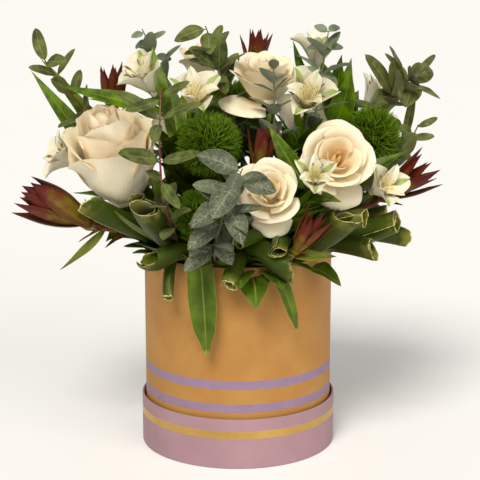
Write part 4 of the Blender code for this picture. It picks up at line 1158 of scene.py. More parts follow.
def leucadendron(name, row, seed):
    base, direction, length, width, turn, drawn = row
    rng, piece = np.random.default_rng(seed), Piece()
    spin, origin = heading(direction, turn), np.array(base, float)
    slim, count, spare = FULL_HEAD if name == "leucadendron_left" else SLIM_HEAD
    core = [(0.09, 0), (0.20, 0.06), (0.20, 0.14), (0.10, 0.30), (0.02, 0.44)]
    piece.lathe([(w * width, h * length) for w, h in core], 12, (0, 0.5), 0, spin, origin)
    for k in range(count):
        share = 1 - k / (count - 1)
        whorl = 0.1 + 0.9 * share
        grid = bract_sheet(length * rng.uniform(0.84, 1.0), width, whorl, slim, spare, rng)
        grid = turned(grid, GOLDEN_TURN * k + 2.1)
        piece.sheet(grid @ spin.T + origin, 0.8, (share, rng.random()), 0)
    ahead, cell, node = unit(direction), cell_of(name), Corners(name)
    end = origin + ahead * 3
    way = stem_line(cell, end, ahead)
    piece.tube(from_foot(cell, way), 2.2, 9, (0, 0.5), 1)
    for leaf in drawn_leaves([stem_line(cell, end, ahead, 4)], drawn, node, name):
        piece.sheet(fine_leaf(leaf, rng, 0.06, 0.5), 0.8, (2, rng.random()), 0)
    t = np.linspace(0, 1, len(way))
    for k, place in enumerate(np.linspace(0.55, 0.97, STEM_LEAVES)):
        middle = np.array([np.interp(place, t, way[:, c]) for c in range(3)])
        ahead_here = unit(way[min(int(place * len(way)) + 1, len(way) - 1)] - middle)
        out = turn_about(unit(np.cross(ahead_here, (0.3, 1, 0.2))), ahead_here, 2.4 * k)
        going = unit(out * 0.6 + ahead_here * 0.8)
        lift = square_to(ahead_here, going)
        leaf = (middle, going, lift, width * 0.85, width * 0.24)
        piece.sheet(fine_leaf(leaf, rng, 0.05, 0.3), 0.7, (0.6, rng.random()), 0)
    piece.make(name + "_bracts", [burgundy_bract, red_stem], name, "burgundy_bract")


grow(leucadendron, LEUCADENDRONS)

# %% [markdown]
# ## Alstroemerias
#
# An alstroemeria, or lily of the Incas, is a funnel of six petals: three broad ones outside,
# each with a green tip, and three slim ones inside, which carry a yellow flush and short dark
# dashes. Six thin stamens curve out of the throat. The stem forks below the flowers, and its
# leaves are long, glossy and a little twisted, because they turn upside down as they grow.

# %% White petal finish
white_petal, tree, surface = new_finish(
    "white_petal", roughness=0.45, specular_ior_level=0.35, subsurface_weight=0.2,
    subsurface_radius=(0.8, 0.7, 0.4), subsurface_scale=0.003)
sheet, across, along, slim, chance = sheet_place(tree)
lines = vein_lines(sheet, 13.0)
middle = (across - 0.5).math("ABSOLUTE").step(0.26, 0.05)
skin = mottled(tree, tint(238, 230, 208), 0.10, 7.0, chance)
skin = blend(lines.step(0.35, 0.95) * 0.16, skin, tint(184, 186, 132))
skin = blend(along.step(0.36, 0.0) * 0.9, skin, tint(132, 150, 40))
green_tip = along.step(0.66, 0.97) * middle * (slim * -0.45 + 1.0)
skin = blend(green_tip * 0.95, skin, tint(112, 142, 14))
stripe = middle.step(0.25, 0.9) * (slim * -1.0 + 1.0) * along.step(0.1, 0.5)
skin = blend(stripe * (lines * 0.5 + 0.4), skin, tint(136, 158, 44))
flush = slim * along.step(0.2, 0.42) * along.step(0.85, 0.55)
skin = blend(flush * 0.5, skin, tint(224, 200, 100))
dashes_at = flow_of(tree, "CombineXYZ", "Vector", {
    "X": across * 16.0, "Y": along * 7.0, "Z": chance * 30.0})
near = flow_of(tree, "TexVoronoi", "Distance", {
    "Vector": dashes_at, "Scale": 1.0, "Randomness": 0.8}).step(0.34, 0.20)
skin = blend(near * flush * 0.9, skin, tint(92, 40, 34))
coat(surface, skin, lines + noise(tree, 2.0, 2.0) * 0.5, 0.25, 0.0006)

stamen, tree, surface = new_finish("stamen", roughness=0.5)
_, _, along, _, _ = sheet_place(tree)
pollen = mottled(tree, tint(136, 112, 62), 0.4, 0.8)
coat(surface, blend(along.step(0.7, 0.8), tint(222, 214, 164), pollen),
     noise(tree, 0.5, 2.0), 0.4, 0.0003)
print("finishes:", white_petal.name, stamen.name)

# %% Lily leaf finish
def leaf_finish(name, dark, light, rib, lines, gloss, side_veins=0.0, slant=1.6):
    """A green leaf: upper and lower face differ, and long or slanting veins run through it."""
    made, tree, surface = new_finish(
        name, roughness=gloss, specular_ior_level=0.35, specular_tint=LEAF_GLOSS,
        subsurface_weight=0.08, subsurface_scale=0.002)
    sheet, _, _, upper, chance = sheet_place(tree)
    skin = blend(noise(tree, 14.0, 2.0).step(0.3, 0.7), dark, light)
    skin = mottled(tree, skin, 0.2, 4.0, chance)
    fine = vein_lines(sheet, lines)
    ribs = use(tree, leaf_veins, {"Sheet": sheet, "Side Veins": side_veins, "Slant": slant,
                                  "Midrib Width": 0.09})
    skin = blend(fine.step(0.4, 0.95) * 0.22, skin, light)
    skin = blend(upper.step(0.6, 0.4) * 0.35, skin, light)
    height = fine * 0.5
    if side_veins:
        skin = blend(ribs["Veins"] * 0.35, skin, rib)
        height = height + ribs["Height"] * 0.6
    skin = blend(ribs["Midrib"] * 0.75, skin, rib)
    skin = blend(edge_of(sheet, 0.02, 0.015, 0.8) * 0.5, skin, rib)
    coat(surface, skin, height + noise(tree, 3.0, 3.0) * 0.4, 0.3, 0.0008)
    return made


lily_leaf = leaf_finish(
    "lily_leaf", tint(38, 64, 3), tint(98, 128, 10), tint(138, 158, 50), 12.0, 0.36)

# %% Alstroemeria table
# Fork of each stem, then each flower's base, axis, petal reach and turn, then the leaves that
# are drawn one by one, as root, tip and width; whorls of plain leaves fill the rest.
ALSTROEMERIAS = {
    "alstroemeria_left": (
        (-52, 2, 264),
        [((-71, -11, 310), (-0.40, -0.42, 0.81), 37, 10),
         ((-38, -24, 299), (0.12, -0.64, 0.76), 35, 40)],
        [((-62, -6, 296), (-142, -48, 328), 15), ((-62, -6, 300), (-124, -22, 318), 10),
         ((-60, 0, 300), (-74, 6, 356), 17)],
    ),
    "alstroemeria_right": (
        (54, -4, 264),
        [((58, -24, 299), (0.02, -0.78, 0.62), 40, 0),
         ((68, 32, 326), (0.10, -0.10, 0.99), 34, 25),
         ((112, 46, 288), (0.55, 0.05, 0.83), 33, 50)],
        [((62, 20, 310), (47, 20, 355), 9), ((90, 20, 272), (92, 44, 338), 19),
         ((100, 24, 276), (112, 50, 336), 17)],
    ),
    "alstroemeria_front": (
        (48, -50, 206),
        [((63, -84, 247), (-0.02, -0.84, 0.54), 28, 30),
         ((112, -42, 232), (0.55, -0.72, 0.42), 32, 5)],
        [((60, -72, 236), (54, -108, 294), 17), ((88, -46, 218), (149, -66, 243), 18),
         ((56, -66, 224), (80, -104, 240), 13)],
    ),
    "alstroemeria_outer": (
        (-94, 16, 218),
        [((-135, -4, 249), (-0.85, -0.25, 0.46), 33, 35)],
        [((-100, 12, 232), (-182, -6, 331), 16), ((-96, 14, 222), (-120, 66, 250), 16)],
    ),
}
print(sum(len(row[1]) for row in ALSTROEMERIAS.values()), "flowers")

# %% Alstroemeria flowers
PETALS, THREADS = 6, 7


def funnel_petal(reach, broad, open_wide, rng, rows=18, columns=11):
    t, v = grid_of(rows, columns)
    steps = np.linspace(0, 1, rows)
    half_width = reach * (0.33 if broad else 0.19)
    first, last = (20, 60 * open_wide + rng.uniform(-12, 8)) if broad else (9, 44 * open_wide)
    lean = np.radians(first + (last - first) * steps + (steps > 0.72) * (steps - 0.72) * 90)
    r = (2.0 if broad else 1.2) + added_up(np.sin(lean[1:])) * reach * 1.08 / (rows - 1)
    z = 2.0 + added_up(np.cos(lean[1:])) * reach * 1.08 / (rows - 1)
    half = half_width * (0.12 + 0.88 * np.sin(np.pi * np.clip(steps * 0.74, 0, 1) ** 1.25))
    half = half * np.clip((1 - steps) * 4.0, 0.02, 1) ** 0.5
    r, z, half, lean = r[:, None], z[:, None], half[:, None], lean[:, None]
    cup = v * v * half * rng.uniform(0.4, 0.9)
    frill = np.sin(t * rng.uniform(9, 14) + phase(rng) + 1.5 * v) * np.abs(v) ** 1.6
    swing = np.sin(t * rng.uniform(5, 9) + v * rng.uniform(3, 6) + phase(rng))
    wave = frill * reach * 0.055 * t + swing * reach * 0.03 * t
    point = np.exp(-(v / 0.22) ** 2) * t ** 10 * reach * 0.05
    r, z = r + point * np.sin(lean), z + point * np.cos(lean)
    return np.stack([r - cup * np.cos(lean) + wave, v * half,
                     z + cup * np.sin(lean) + wave * 0.6], axis=-1)


def alstroemeria_flower(name, number, base, direction, reach, turn):
    rng = np.random.default_rng(number * 31 + int(reach * 7))
    spin, origin, piece = heading(direction, turn), np.array(base, float), Piece()
    body = [(1.6, 0.1), (2.7, 0.8), (3.5, reach * 0.14), (3.2, reach * 0.26), (0.8, reach * 0.36)]
    piece.lathe(body, 12, (0, 0.5), 0, spin, origin)
    open_wide = rng.uniform(0.6, 1.0)
    for k in range(PETALS):
        broad = k % 2 == 0
        grid = turned(funnel_petal(reach * rng.uniform(0.90, 1.0), broad, open_wide, rng),
                      2 * math.pi * k / PETALS + rng.uniform(-0.08, 0.08))
        piece.sheet(grid @ spin.T + origin, 0.6, (0 if broad else 1, rng.random()), 0)
    for k in range(THREADS):
        out = level_way(2 * math.pi * k / THREADS + 0.4)
        long = reach * rng.uniform(0.72, 0.92)
        way = curve((out * 1.0 + UP * reach * 0.2, out * 2 + UP * long * 0.6,
                     out * long * 0.22 + UP * long * 0.9, out * long * 0.42 + UP * long), 9)
        radii = [0.4] * 7 + [0.8, 0.6]
        piece.tube(way @ spin.T + origin, radii, 6, (1, rng.random()), 1)
    piece.make(f"{name}_petals_{number}", [white_petal, stamen], f"{name}_flower_{number}",
               "white_petal")


print(PETALS, "petals and", THREADS, "threads to a flower")

# %% [markdown]
# The stems are found again from their feet, as before. The plain model has room for few leaves
# only, while a real stem is leafy all the way, so more leaves grow between them here. A leaf may
# not pass through a flower or a neighbour, and a tree of the frame's solids tells whether it
# would: the leaf is bent a little further each time until it is clear.

# %% Room for more leaves
# Millimetres at a leaf's root that may touch, and that stay free round it; and the share of its
# size to which a leaf may shrink before its place is given up.
STALK, PLAY, SMALLEST_LEAF = 3, 1, 0.7


class Room:
    """The frame's solids, and the leaves that were added, as what a new leaf must not touch."""

    def __init__(self):
        self.trees = {}
        for node in solids:
            mesh = solids[node].data
            faces = [face.vertices[:] for face in mesh.polygons]
            self.trees[node] = self.tree_of(corners_of(node), faces)

    @staticmethod
    def tree_of(points, faces):
        return BVHTree.FromPolygons([tuple(p) for p in points], faces)

    def grid_tree(self, grid):
        rows, columns = grid.shape[:2]
        index = np.arange(rows * columns).reshape(rows, columns)
        return self.tree_of(grid.reshape(-1, 3), quads(index).tolist())

    def clear(self, grid, besides=()):
        tree = self.grid_tree(grid)
        return not any(tree.overlap(other) for name, other in self.trees.items()
                       if name not in besides)

    def leaf(self, name, own, root, direction, lift, length, width, droop=0.12):
        """The leaf at its first clear bend, or None; it then takes its room."""
        side, (low, high) = np.cross(direction, lift), np.array(frame_box) / MM
        t, v = grid_of(7, 3)
        for pitch, yaw, scale in bends():
            if scale < SMALLEST_LEAF:
                break
            turn = leaned(pitch, yaw, side, lift)
            way, up, long, wide = turn @ direction, turn @ lift, length * scale, width * scale
            grid = leaf_sheet(root + way * STALK, way, up, long - STALK, wide + PLAY, t, v, droop)
            inside = (grid > low + PLAY).all() and (grid < high - PLAY).all()
            if inside and self.clear(grid[1:], own):
                self.trees[f"{name}_more_{len(self.trees)}"] = self.grid_tree(grid[1:])
                return root, way, up, long, wide
        return None


room = Room()
print(len(room.trees), "solids take their room")

# %% Aimed leaves and whorls
# Broad leaves that are aimed by root, tip and width, and kept only where there is room; then the
# number of places up a stem where a plain leaf is tried.
AIMED_LEAVES = {
    "alstroemeria_left": [
        ((-52, 2, 262), (-14, 30, 318), 22), ((-50, 2, 258), (-32, 44, 320), 22),
        ((-54, 2, 262), (-64, 40, 316), 20), ((-48, 4, 256), (4, 34, 300), 20),
        ((-50, 2, 262), (0, 36, 334), 20), ((-46, 4, 214), (-66, 12, 262), 20),
    ],
    "alstroemeria_outer": [
        ((-116, 6, 236), (-182, -6, 328), 17),
    ],
    "alstroemeria_right": [
        ((100, 24, 276), (78, 30, 346), 22), ((100, 24, 276), (122, 20, 338), 24),
        ((90, 20, 270), (96, 4, 330), 22), ((104, 30, 280), (138, 16, 306), 20),
        ((96, 26, 262), (112, 44, 306), 20), ((92, 26, 250), (148, 40, 292), 20),
        ((92, 24, 244), (140, 44, 262), 18),
    ],
}
LILY_LEAVES_TRIED = 26
# Whorls of plain leaves: their share of the stem, how many leaves, and the turn of the first.
WHORLS = ((0.5, 2, 0.9), (0.66, 3, 0.3), (0.82, 3, 1.1))
WHORL_LENGTH, WHORL_WIDTH = 56, 22
print(sum(len(row) for row in AIMED_LEAVES.values()), "leaves are aimed")

# %% Alstroemeria stems
def alstroemeria(name, row, seed):
    fork, flowers, drawn = row
    rng, fork, piece = np.random.default_rng(seed), np.array(fork, float), Piece()
    cell, node = cell_of(name), Corners(name)
    fine = from_foot(cell, stem_line(cell, fork, UP, 18))
    rough = [from_foot(cell, stem_line(cell, fork, UP, 4))]
    piece.tube(fine, 2.4, 10, (0, 0.5))
    for number, (base, direction, reach, turn) in enumerate(flowers, 1):
        alstroemeria_flower(name, number, base, direction, reach, turn)
        ahead = unit(direction)
        end = np.array(base, float) - ahead * GAP
        last, span = end - ahead * 4, np.linalg.norm(end - fork)
        controls = (fork - UP * 3, fork + UP * span * 0.3, last - ahead * span * 0.3, last)
        way = np.concatenate([curve(controls, 12), end[None]])
        rough.append(np.concatenate([curve(controls, 4), end[None]]))
        radii = np.interp(np.arange(13), (0, 9, 11, 12), (1.6, 1.6, 1.9, 2.6))
        piece.tube(way, radii, 9, (0, 0.4))
    leaves = drawn_leaves(rough, drawn, node, name)
    for share, count, turn in WHORLS:
        for k in range(count):
            root, _ = on_path(rough[0], share)
            away = turned(unit((1, 0, 0.7)), 2 * math.pi * k / count + turn)
            leaf = found_leaf(node, root, away, square_to(UP, away), WHORL_LENGTH, WHORL_WIDTH, 2)
            if leaf is not None:
                leaves.append(leaf)
    more = 0
    for root, tip, width in AIMED_LEAVES.get(name, ()):
        start = snapped(rough, root)
        ahead = unit(np.array(tip, float) - start)
        lift = square_to(np.array((0, -0.8, 0.6)), ahead)
        leaf = room.leaf(name, (name,), start, ahead, lift, np.linalg.norm(tip - start), width)
        if leaf is not None:
            leaves.append(leaf)
            more += 1
    for k in range(LILY_LEAVES_TRIED):
        root, _ = on_path(fine[1:], 0.16 + 0.8 * k / (LILY_LEAVES_TRIED - 1))
        away = turned(unit((1, 0, 0.55 + 0.4 * (k % 3))), GOLDEN_TURN * k + seed)
        leaf = room.leaf(name, (name,), root, away, square_to(UP, away),
                         rng.uniform(42, 62), rng.uniform(14, 21))
        if leaf is not None:
            leaves.append(leaf)
            more += 1
    for leaf in leaves:
        piece.leaf(fine_leaf(leaf, rng, 0.06, 0.6), rng, 1)
    piece.make(name + "_leaves", [green_stem, lily_leaf], name, "green_stem")
    print(name, "has", len(leaves), "leaves,", more, "of them more than the frame")


grow(alstroemeria, ALSTROEMERIAS)

# %% [markdown]
# ## Rose stems
#
# Below each rose the green calyx swells out of the stem and five narrow sepals hang from it,
# which are what shows of a rose from the side and from behind. Rose leaves are broad, dark and
# finely veined. They fill the depths between the flowers, so that no daylight shows through.

# %% Rose stems
rose_leaf = leaf_finish(
    "rose_leaf", tint(26, 46, 8), tint(64, 92, 20), tint(104, 124, 50), 4.0, 0.42, 9.0)
ROSE_LEAVES_TRIED, SEPALS = 16, 5


def rose_stem(name, row):
    base, direction, radius, _, _, turn, _ = row
    base, ahead, piece = np.array(base, float), unit(direction), Piece()
    spin = heading(direction, turn)
    cell = cell_of(name + "_stem")
    way = stem_line(cell, base - ahead * 6, ahead)
    calyx = [base - ahead * back for back in (3.4, 1.8, 0.35 + 0.02 * radius)]
    swell = [2.0 + radius * 0.09, 2.4 + radius * 0.10, 1.6 + radius * 0.05]
    full = from_foot(cell, np.concatenate([way, calyx]))
    piece.tube(full, [2.6] * (len(way) + 1) + swell, 10, (0, 0.5))
    t, v = grid_of(12, 7)
    for k in range(SEPALS):
        out = level_way(2 * math.pi * k / SEPALS)
        grid = leaf_sheet(base + spin @ (out * 1.6 - UP * 3.4), spin @ (out * 0.90 - UP * 0.44),
                          spin @ (out * 0.44 + UP * 0.90), radius * 0.5, radius * 0.18, t, v, 0.3)
        piece.sheet(grid, 0.8, (1, 0.2 * k))
    rng, own, found = np.random.default_rng(int(radius * 3 + turn)), (name, name + "_stem"), 0
    for k in range(ROSE_LEAVES_TRIED):
        root, _ = on_path(way, 0.10 + 0.72 * k / ROSE_LEAVES_TRIED)
        away = turned(unit((1, 0, 0.2 + 0.35 * (k % 3))), GOLDEN_TURN * k + turn)
        leaf = room.leaf(name, own, root, away, square_to(UP, away),
                         rng.uniform(34, 50), rng.uniform(19, 26))
        if leaf is not None:
            piece.leaf(fine_leaf(leaf, rng, 0.05, 0.5, oval), rng, 1)
            found += 1
    piece.make(name + "_green", [green_stem, rose_leaf], name + "_stem", "green_stem")
    print(name, "has", found, "leaves")


for name, row in ROSES.items():
    rose_stem(name, row)

# %% [markdown]
# ## Eucalyptus
#
# Eucalyptus leaves stand in pairs on a thin red-brown stem, each pair turned against the last.
# The common kind is sage green with a waxy bloom, and a second kind is bluer. One spray is
# frosted: its broad leaves are flecked with silver along their veins. The flecks are a noise
# pattern that is stronger near the midrib.

# %% Eucalyptus finishes
SILVER = tint(168, 174, 158)


def waxy_finish(name, dark, light, bloom, frost=0.0):
    made, tree, surface = new_finish(name, roughness=0.55, specular_ior_level=0.3,
                                     specular_tint=LEAF_GLOSS, sheen_weight=0.08)
    sheet, across, _, upper, chance = sheet_place(tree)
    ribs = use(tree, leaf_veins, {"Sheet": sheet, "Side Veins": 7.0, "Slant": 1.1,
                                  "Midrib Width": 0.10})
    skin = blend(noise(tree, 12.0, 2.0).step(0.3, 0.7), dark, light)
    skin = mottled(tree, skin, 0.22, 5.0, chance)
    skin = blend(upper.step(0.6, 0.4) * 0.5, skin, bloom)
    skin = blend(noise(tree, 5.0, 4.0).step(0.45, 0.8) * 0.35, skin, bloom)
    height = ribs["Height"] * 0.6
    if frost:
        flecks = noise(tree, 1.1, 5.0, roughness=0.8).step(0.44, 0.66)
        middle = (across - 0.5).math("ABSOLUTE").step(0.5, 0.0) * 0.9 + 0.3
        skin = blend(flecks * middle * frost, skin, SILVER)
        height = height + noise(tree, 1.6, 4.0) * 1.2
    skin = blend(ribs["Veins"] * noise(tree, 3.0, 3.0).step(0.3, 0.7) * (0.2 + frost * 0.4), skin,
                 SILVER if frost else bloom)
    skin = blend(ribs["Midrib"] * 0.55, skin, tint(150, 154, 108))
    skin = blend(edge_of(sheet, 0.02, 0.02, 0.5) * 0.5, skin, tint(142, 104, 78))
    coat(surface, skin, height + noise(tree, 4.0, 2.0) * 0.4, 0.3, 0.0007)
    return made


sage_leaf = waxy_finish("sage_leaf", tint(50, 60, 18), tint(94, 104, 46), tint(128, 134, 84))
blue_leaf = waxy_finish("blue_leaf", tint(74, 86, 64), tint(120, 132, 106), tint(154, 162, 138))
frosted_leaf = waxy_finish(
    "frosted_leaf", tint(42, 50, 32), tint(76, 86, 62), tint(98, 106, 84), 0.5)
print("three waxy finishes")

# %% Spray tables
# Sprays whose leaves are drawn one by one: the stem's control points after its foot, then each
# leaf's root, tip and width.
DRAWN_SPRAYS = {
    "eucalyptus_willow": (
        [(-56, -84, 212), (-66, -130, 236), (-62, -82, 326)],
        [((-60, -96, 321), (-88, -110, 314), 10), ((-59, -108, 307), (-91, -100, 331), 12),
         ((-57, -96, 323), (-40, -90, 333), 8), ((-57, -108, 307), (-30, -110, 318), 8),
         ((-59, -110, 305), (-65, -124, 291), 10), ((-55, -122, 271), (-91, -128, 282), 16),
         ((-55, -122, 270), (-32, -126, 282), 11), ((-52, -118, 255), (-72, -112, 263), 9),
         ((-51, -118, 253), (-47, -130, 239), 10)],
    ),
    "eucalyptus_left": (
        [(-100, 6, 270), (-136, -14, 298), (-161, -38, 343)],
        [((-160, -38, 342), (-168, -38, 371), 11), ((-161, -38, 341), (-143, -50, 345), 14),
         ((-151, -34, 328), (-138, -28, 353), 6), ((-156, -33, 327), (-174, -42, 341), 8),
         ((-145, -28, 314), (-157, -40, 334), 13), ((-141, -24, 310), (-134, -24, 334), 9)],
    ),
    "eucalyptus_crown": (
        [(-10, 12, 270), (-6, 0, 318), (-28, 0, 369)],
        [((-28, 0, 366), (-54, -8, 363), 14), ((-27, 0, 364), (-24, -16, 348), 15),
         ((-22, 0, 352), (-14, 2, 370), 8), ((-14, 0, 330), (-19, -12, 362), 14),
         ((-13, -2, 332), (-38, -22, 353), 15), ((-19, 0, 349), (-48, 10, 346), 8),
         ((-14, -2, 328), (-10, -20, 312), 12), ((-13, 0, 323), (0, 10, 346), 13)],
    ),
    "eucalyptus_right": (
        [(96, 40, 250), (112, 26, 318), (150, 20, 323)],
        [((112, 20, 319), (109, 16, 343), 13), ((117, 20, 322), (136, 8, 337), 14),
         ((146, 20, 322), (130, 26, 344), 6), ((149, 20, 322), (146, 6, 300), 21),
         ((152, 20, 322), (173, 28, 343), 7), ((120, 18, 312), (114, 0, 296), 10),
         ((112, 22, 300), (100, 8, 290), 10), ((110, 26, 290), (128, 12, 276), 9)],
    ),
    "eucalyptus_edge": (
        [(112, 14, 240), (144, 16, 244), (159, 20, 281)],
        [((157, 20, 279), (176, 22, 288), 7), ((155, 20, 268), (172, 12, 273), 8),
         ((155, 20, 267), (143, 12, 282), 10), ((150, 20, 252), (171, 20, 305), 8)],
    ),
    "eucalyptus_blue_right": (
        [(60, 14, 260), (68, 12, 320), (77, 15, 364)],
        [((77, 15, 362), (66, 10, 369), 8), ((77, 15, 362), (89, 20, 368), 8),
         ((76, 15, 349), (61, 18, 354), 8), ((76, 15, 349), (91, 10, 349), 8),
         ((71, 14, 330), (53, 0, 334), 10), ((71, 14, 326), (86, -2, 318), 12)],
    ),
    "eucalyptus_blue_left": (
        [(-50, 40, 270), (-62, 30, 318), (-84, 30, 364)],
        [((-82, 30, 361), (-93, 24, 358), 7), ((-78, 30, 355), (-92, 38, 347), 6),
         ((-78, 30, 355), (-64, 24, 363), 6), ((-72, 30, 344), (-84, 14, 343), 12),
         ((-70, 30, 339), (-88, 38, 330), 7), ((-70, 30, 340), (-58, 42, 338), 9)],
    ),
    "eucalyptus_frosted": (
        [(-20, -108, 200), (-14, -130, 230), (4, -118, 266)],
        [((0, -131, 266), (-30, -128, 280), 20), ((-1, -131, 264), (30, -128, 250), 19),
         ((-7, -134, 262), (-20, -142, 232), 22), ((-11, -133, 255), (-35, -126, 256), 12),
         ((-17, -130, 243), (-37, -137, 224), 19), ((-17, -130, 237), (3, -140, 211), 18),
         ((-24, -121, 220), (-40, -129, 204), 16), ((-24, -110, 205), (0, -120, 195), 15),
         ((-26, -106, 196), (-43, -119, 184), 14)],
    ),
}

# Sprays with leaves in pairs: the stem, pairs of leaves, leaf length and width, share of the
# stem that is bare, how much smaller the last leaves are, turn of the first pair and from each
# pair to the next.
PAIRED_SPRAYS = {
    "eucalyptus_blue_middle": (
        [(26, -50, 240), (24, -52, 290), (27, -34, 338)],
        4, 24, 13, 0.60, 0.3, 0, 90,
    ),
    "eucalyptus_rear": (
        [(-10, 110, 220), (-10, 134, 260), (-20, 138, 320)],
        4, 36, 17, 0.45, 0.2, 20, 80,
    ),
}

# Sprays that get other than the usual leaves besides the drawn ones: how far up the stem they
# go, how many pairs, and the length and width of a leaf.
MORE_LEAVES = {
    "eucalyptus_willow": (0.50, 4, 24, 12),
    "eucalyptus_left": (0.60, 5, 30, 13),
    "eucalyptus_right": (0.90, 11, 36, 20),
    "eucalyptus_edge": (0.66, 8, 34, 17),
}
USUAL_LEAVES = (0.84, 7, 30, 13)
print(len(DRAWN_SPRAYS) + len(PAIRED_SPRAYS), "sprays")

# %% Eucalyptus sprays
def swung_stem(name, drawn):
    """The control points of a spray's stem after it was swung clear in the frame."""
    cell, node = cell_of(name), Corners(name)
    first, second, tip = [np.array(c, float) for c in drawn]
    outward = unit((second[0], second[1], 0))
    aside = np.cross(outward, UP)

    def ways():
        for push in (0, 6, 12, 18, 24, 30):
            for swing in (0, -8, 8, -16, 16):
                away = outward * push + aside * swing
                yield cell, first + away, second + away, tip + away * 0.4

    return node.best(ways(), lambda controls: curve(controls, 6)[2:], 2.6), node, cell


def paired_leaves(rough, row, node):
    """The leaves that grow in opposite pairs, each pair turned from the last."""
    pairs, length, width, bare, taper, first, step = row
    made = []
    for pair in range(pairs):
        later = pair / (pairs - 1)
        root, ahead = on_path(rough, bare + (0.98 - bare) * later)
        out, size = unit(np.cross(ahead, (0, 1, 0))), 1 - taper * later
        for half_turn in (0, math.pi):
            away = turn_about(out, ahead, math.radians(first + step * pair) + half_turn)
            direction = unit(away * 0.86 + ahead * 0.51)
            lift = square_to(ahead, direction)
            long, wide = length * size, width * size
            made.append(found_leaf(node, root, direction, lift, long, wide, 2 if long < 33 else 3))
    return [leaf for leaf in made if leaf is not None]


def added_leaves(name, fine, places, length, width, seed):
    """Leaves in pairs at some shares of the stem, each at its first clear bend."""
    made = []
    for k, share in enumerate(np.repeat(places, 2)):
        root, ahead = on_path(fine, share)
        out = unit(np.cross(ahead, (0, 1, 0)))
        away = turn_about(out, ahead, 1.4 * (k // 2) + math.pi * (k % 2) + seed)
        direction = unit(away * 0.86 + ahead * 0.55)
        lift = square_to(ahead, direction)
        leaf = room.leaf(name, (name,), root, direction, lift, length, width)
        if leaf is not None:
            made.append(leaf)
    return made


def eucalyptus(name, row, seed):
    rng, piece = np.random.default_rng(seed), Piece()
    controls, node, cell = swung_stem(name, row[0])
    if controls is None:
        print("no way found for", name)
        return
    fine, rough = curve(controls, 26), curve(controls, 6)
    radii = 1.3 * (1 - 0.6 * np.linspace(0, 1, 27) ** 2)
    piece.tube(from_foot(cell, fine), radii, 8, (0, 0.5))
    if name in DRAWN_SPRAYS:
        leaves = drawn_leaves([rough], row[1], node, name)
        end, count, length, width = MORE_LEAVES.get(name, USUAL_LEAVES)
        places = np.linspace(0.28, end, count)
    else:
        leaves = paired_leaves(rough, row[1:], node)
        places, length, width = np.linspace(0.30, 0.90, 5), 26, 12
    first = len(leaves)
    leaves += added_leaves(name, fine, places, length, width, seed)
    for leaf in leaves:
        outline = round_leaf if leaf[4] > 0.45 * leaf[3] else blunt
        grid = fine_leaf(leaf, rng, 0.03, 0.3, outline, stalk=0.09, rows=16, fold=0.12)
        piece.leaf(grid, rng, 1)
    skin = frosted_leaf if "frosted" in name else blue_leaf if "blue" in name else sage_leaf
    slot = "frosted_green" if "blue" in name or "frosted" in name else "eucalyptus_green"
    stem_skin = red_stem if skin is sage_leaf else dusty_stem
    piece.make(name + "_spray", [stem_skin, skin], name, slot)
    print(name, "has", first, "leaves of the frame and", len(leaves) - first, "more")


grow(eucalyptus, {**DRAWN_SPRAYS, **PAIRED_SPRAYS})

# %% [markdown]
# ## Rolled leaves
#
# The collar round the rim is made of large strap leaves. Florists cut their ends off and roll
# them up, so each is a scroll whose mouth shows a pale, slightly torn edge. A scroll's section
# is a spiral, swept along the leaf's curve and widening towards its mouth. A few leaves stay
# flat: two of them stand up, and two hang down over the box.

# %% Rolled leaf finishes
def strap_finish(name, outside, bloom, inside, wilted, cut, mouth_width):
    made, tree, surface = new_finish(
        name, roughness=0.45, specular_ior_level=0.3, specular_tint=LEAF_GLOSS,
        subsurface_weight=0.06, subsurface_scale=0.002)
    sheet, _, along, outer, chance = sheet_place(tree)
    fine = vein_lines(sheet, 30.0)
    waxed = blend((chance * 0.9 + noise(tree, 24.0, 2.0) * 0.5).step(0.45, 0.85), outside, bloom)
    skin = blend(outer.step(0.4, 0.6), inside, waxed)
    skin = mottled(tree, skin, 0.24, 9.0, chance)
    skin = blend(fine.step(0.5, 0.95) * 0.16, skin, bloom)
    near_mouth = along.step(0.86, 1.0) * noise(tree, 9.0, 2.0).step(0.35, 0.65)
    skin = blend(near_mouth * 0.4, skin, wilted)
    scars = noise(tree, 4.0, 5.0, roughness=0.7).step(0.66, 0.72)
    skin = blend(scars * 0.35, skin, wilted)
    edge = edge_of(sheet, 0.005, mouth_width, 0.8)
    worn = noise(tree, 2.6, 3.0).step(0.34, 0.56)
    skin = blend(edge * (worn * 0.75 + 0.2), skin, cut)
    coat(surface, skin, fine * 0.5 + noise(tree, 7.0, 3.0), 0.22, 0.0009)
    return made


rolled_green = strap_finish("rolled_green", tint(80, 94, 14), tint(104, 106, 58), tint(46, 62, 4),
                            tint(160, 150, 66), tint(222, 212, 138), 0.010)
strap_leaf = leaf_finish(
    "strap_leaf", tint(54, 74, 8), tint(80, 102, 18), tint(160, 164, 74), 18.0, 0.42)
print("finishes:", rolled_green.name, strap_leaf.name)

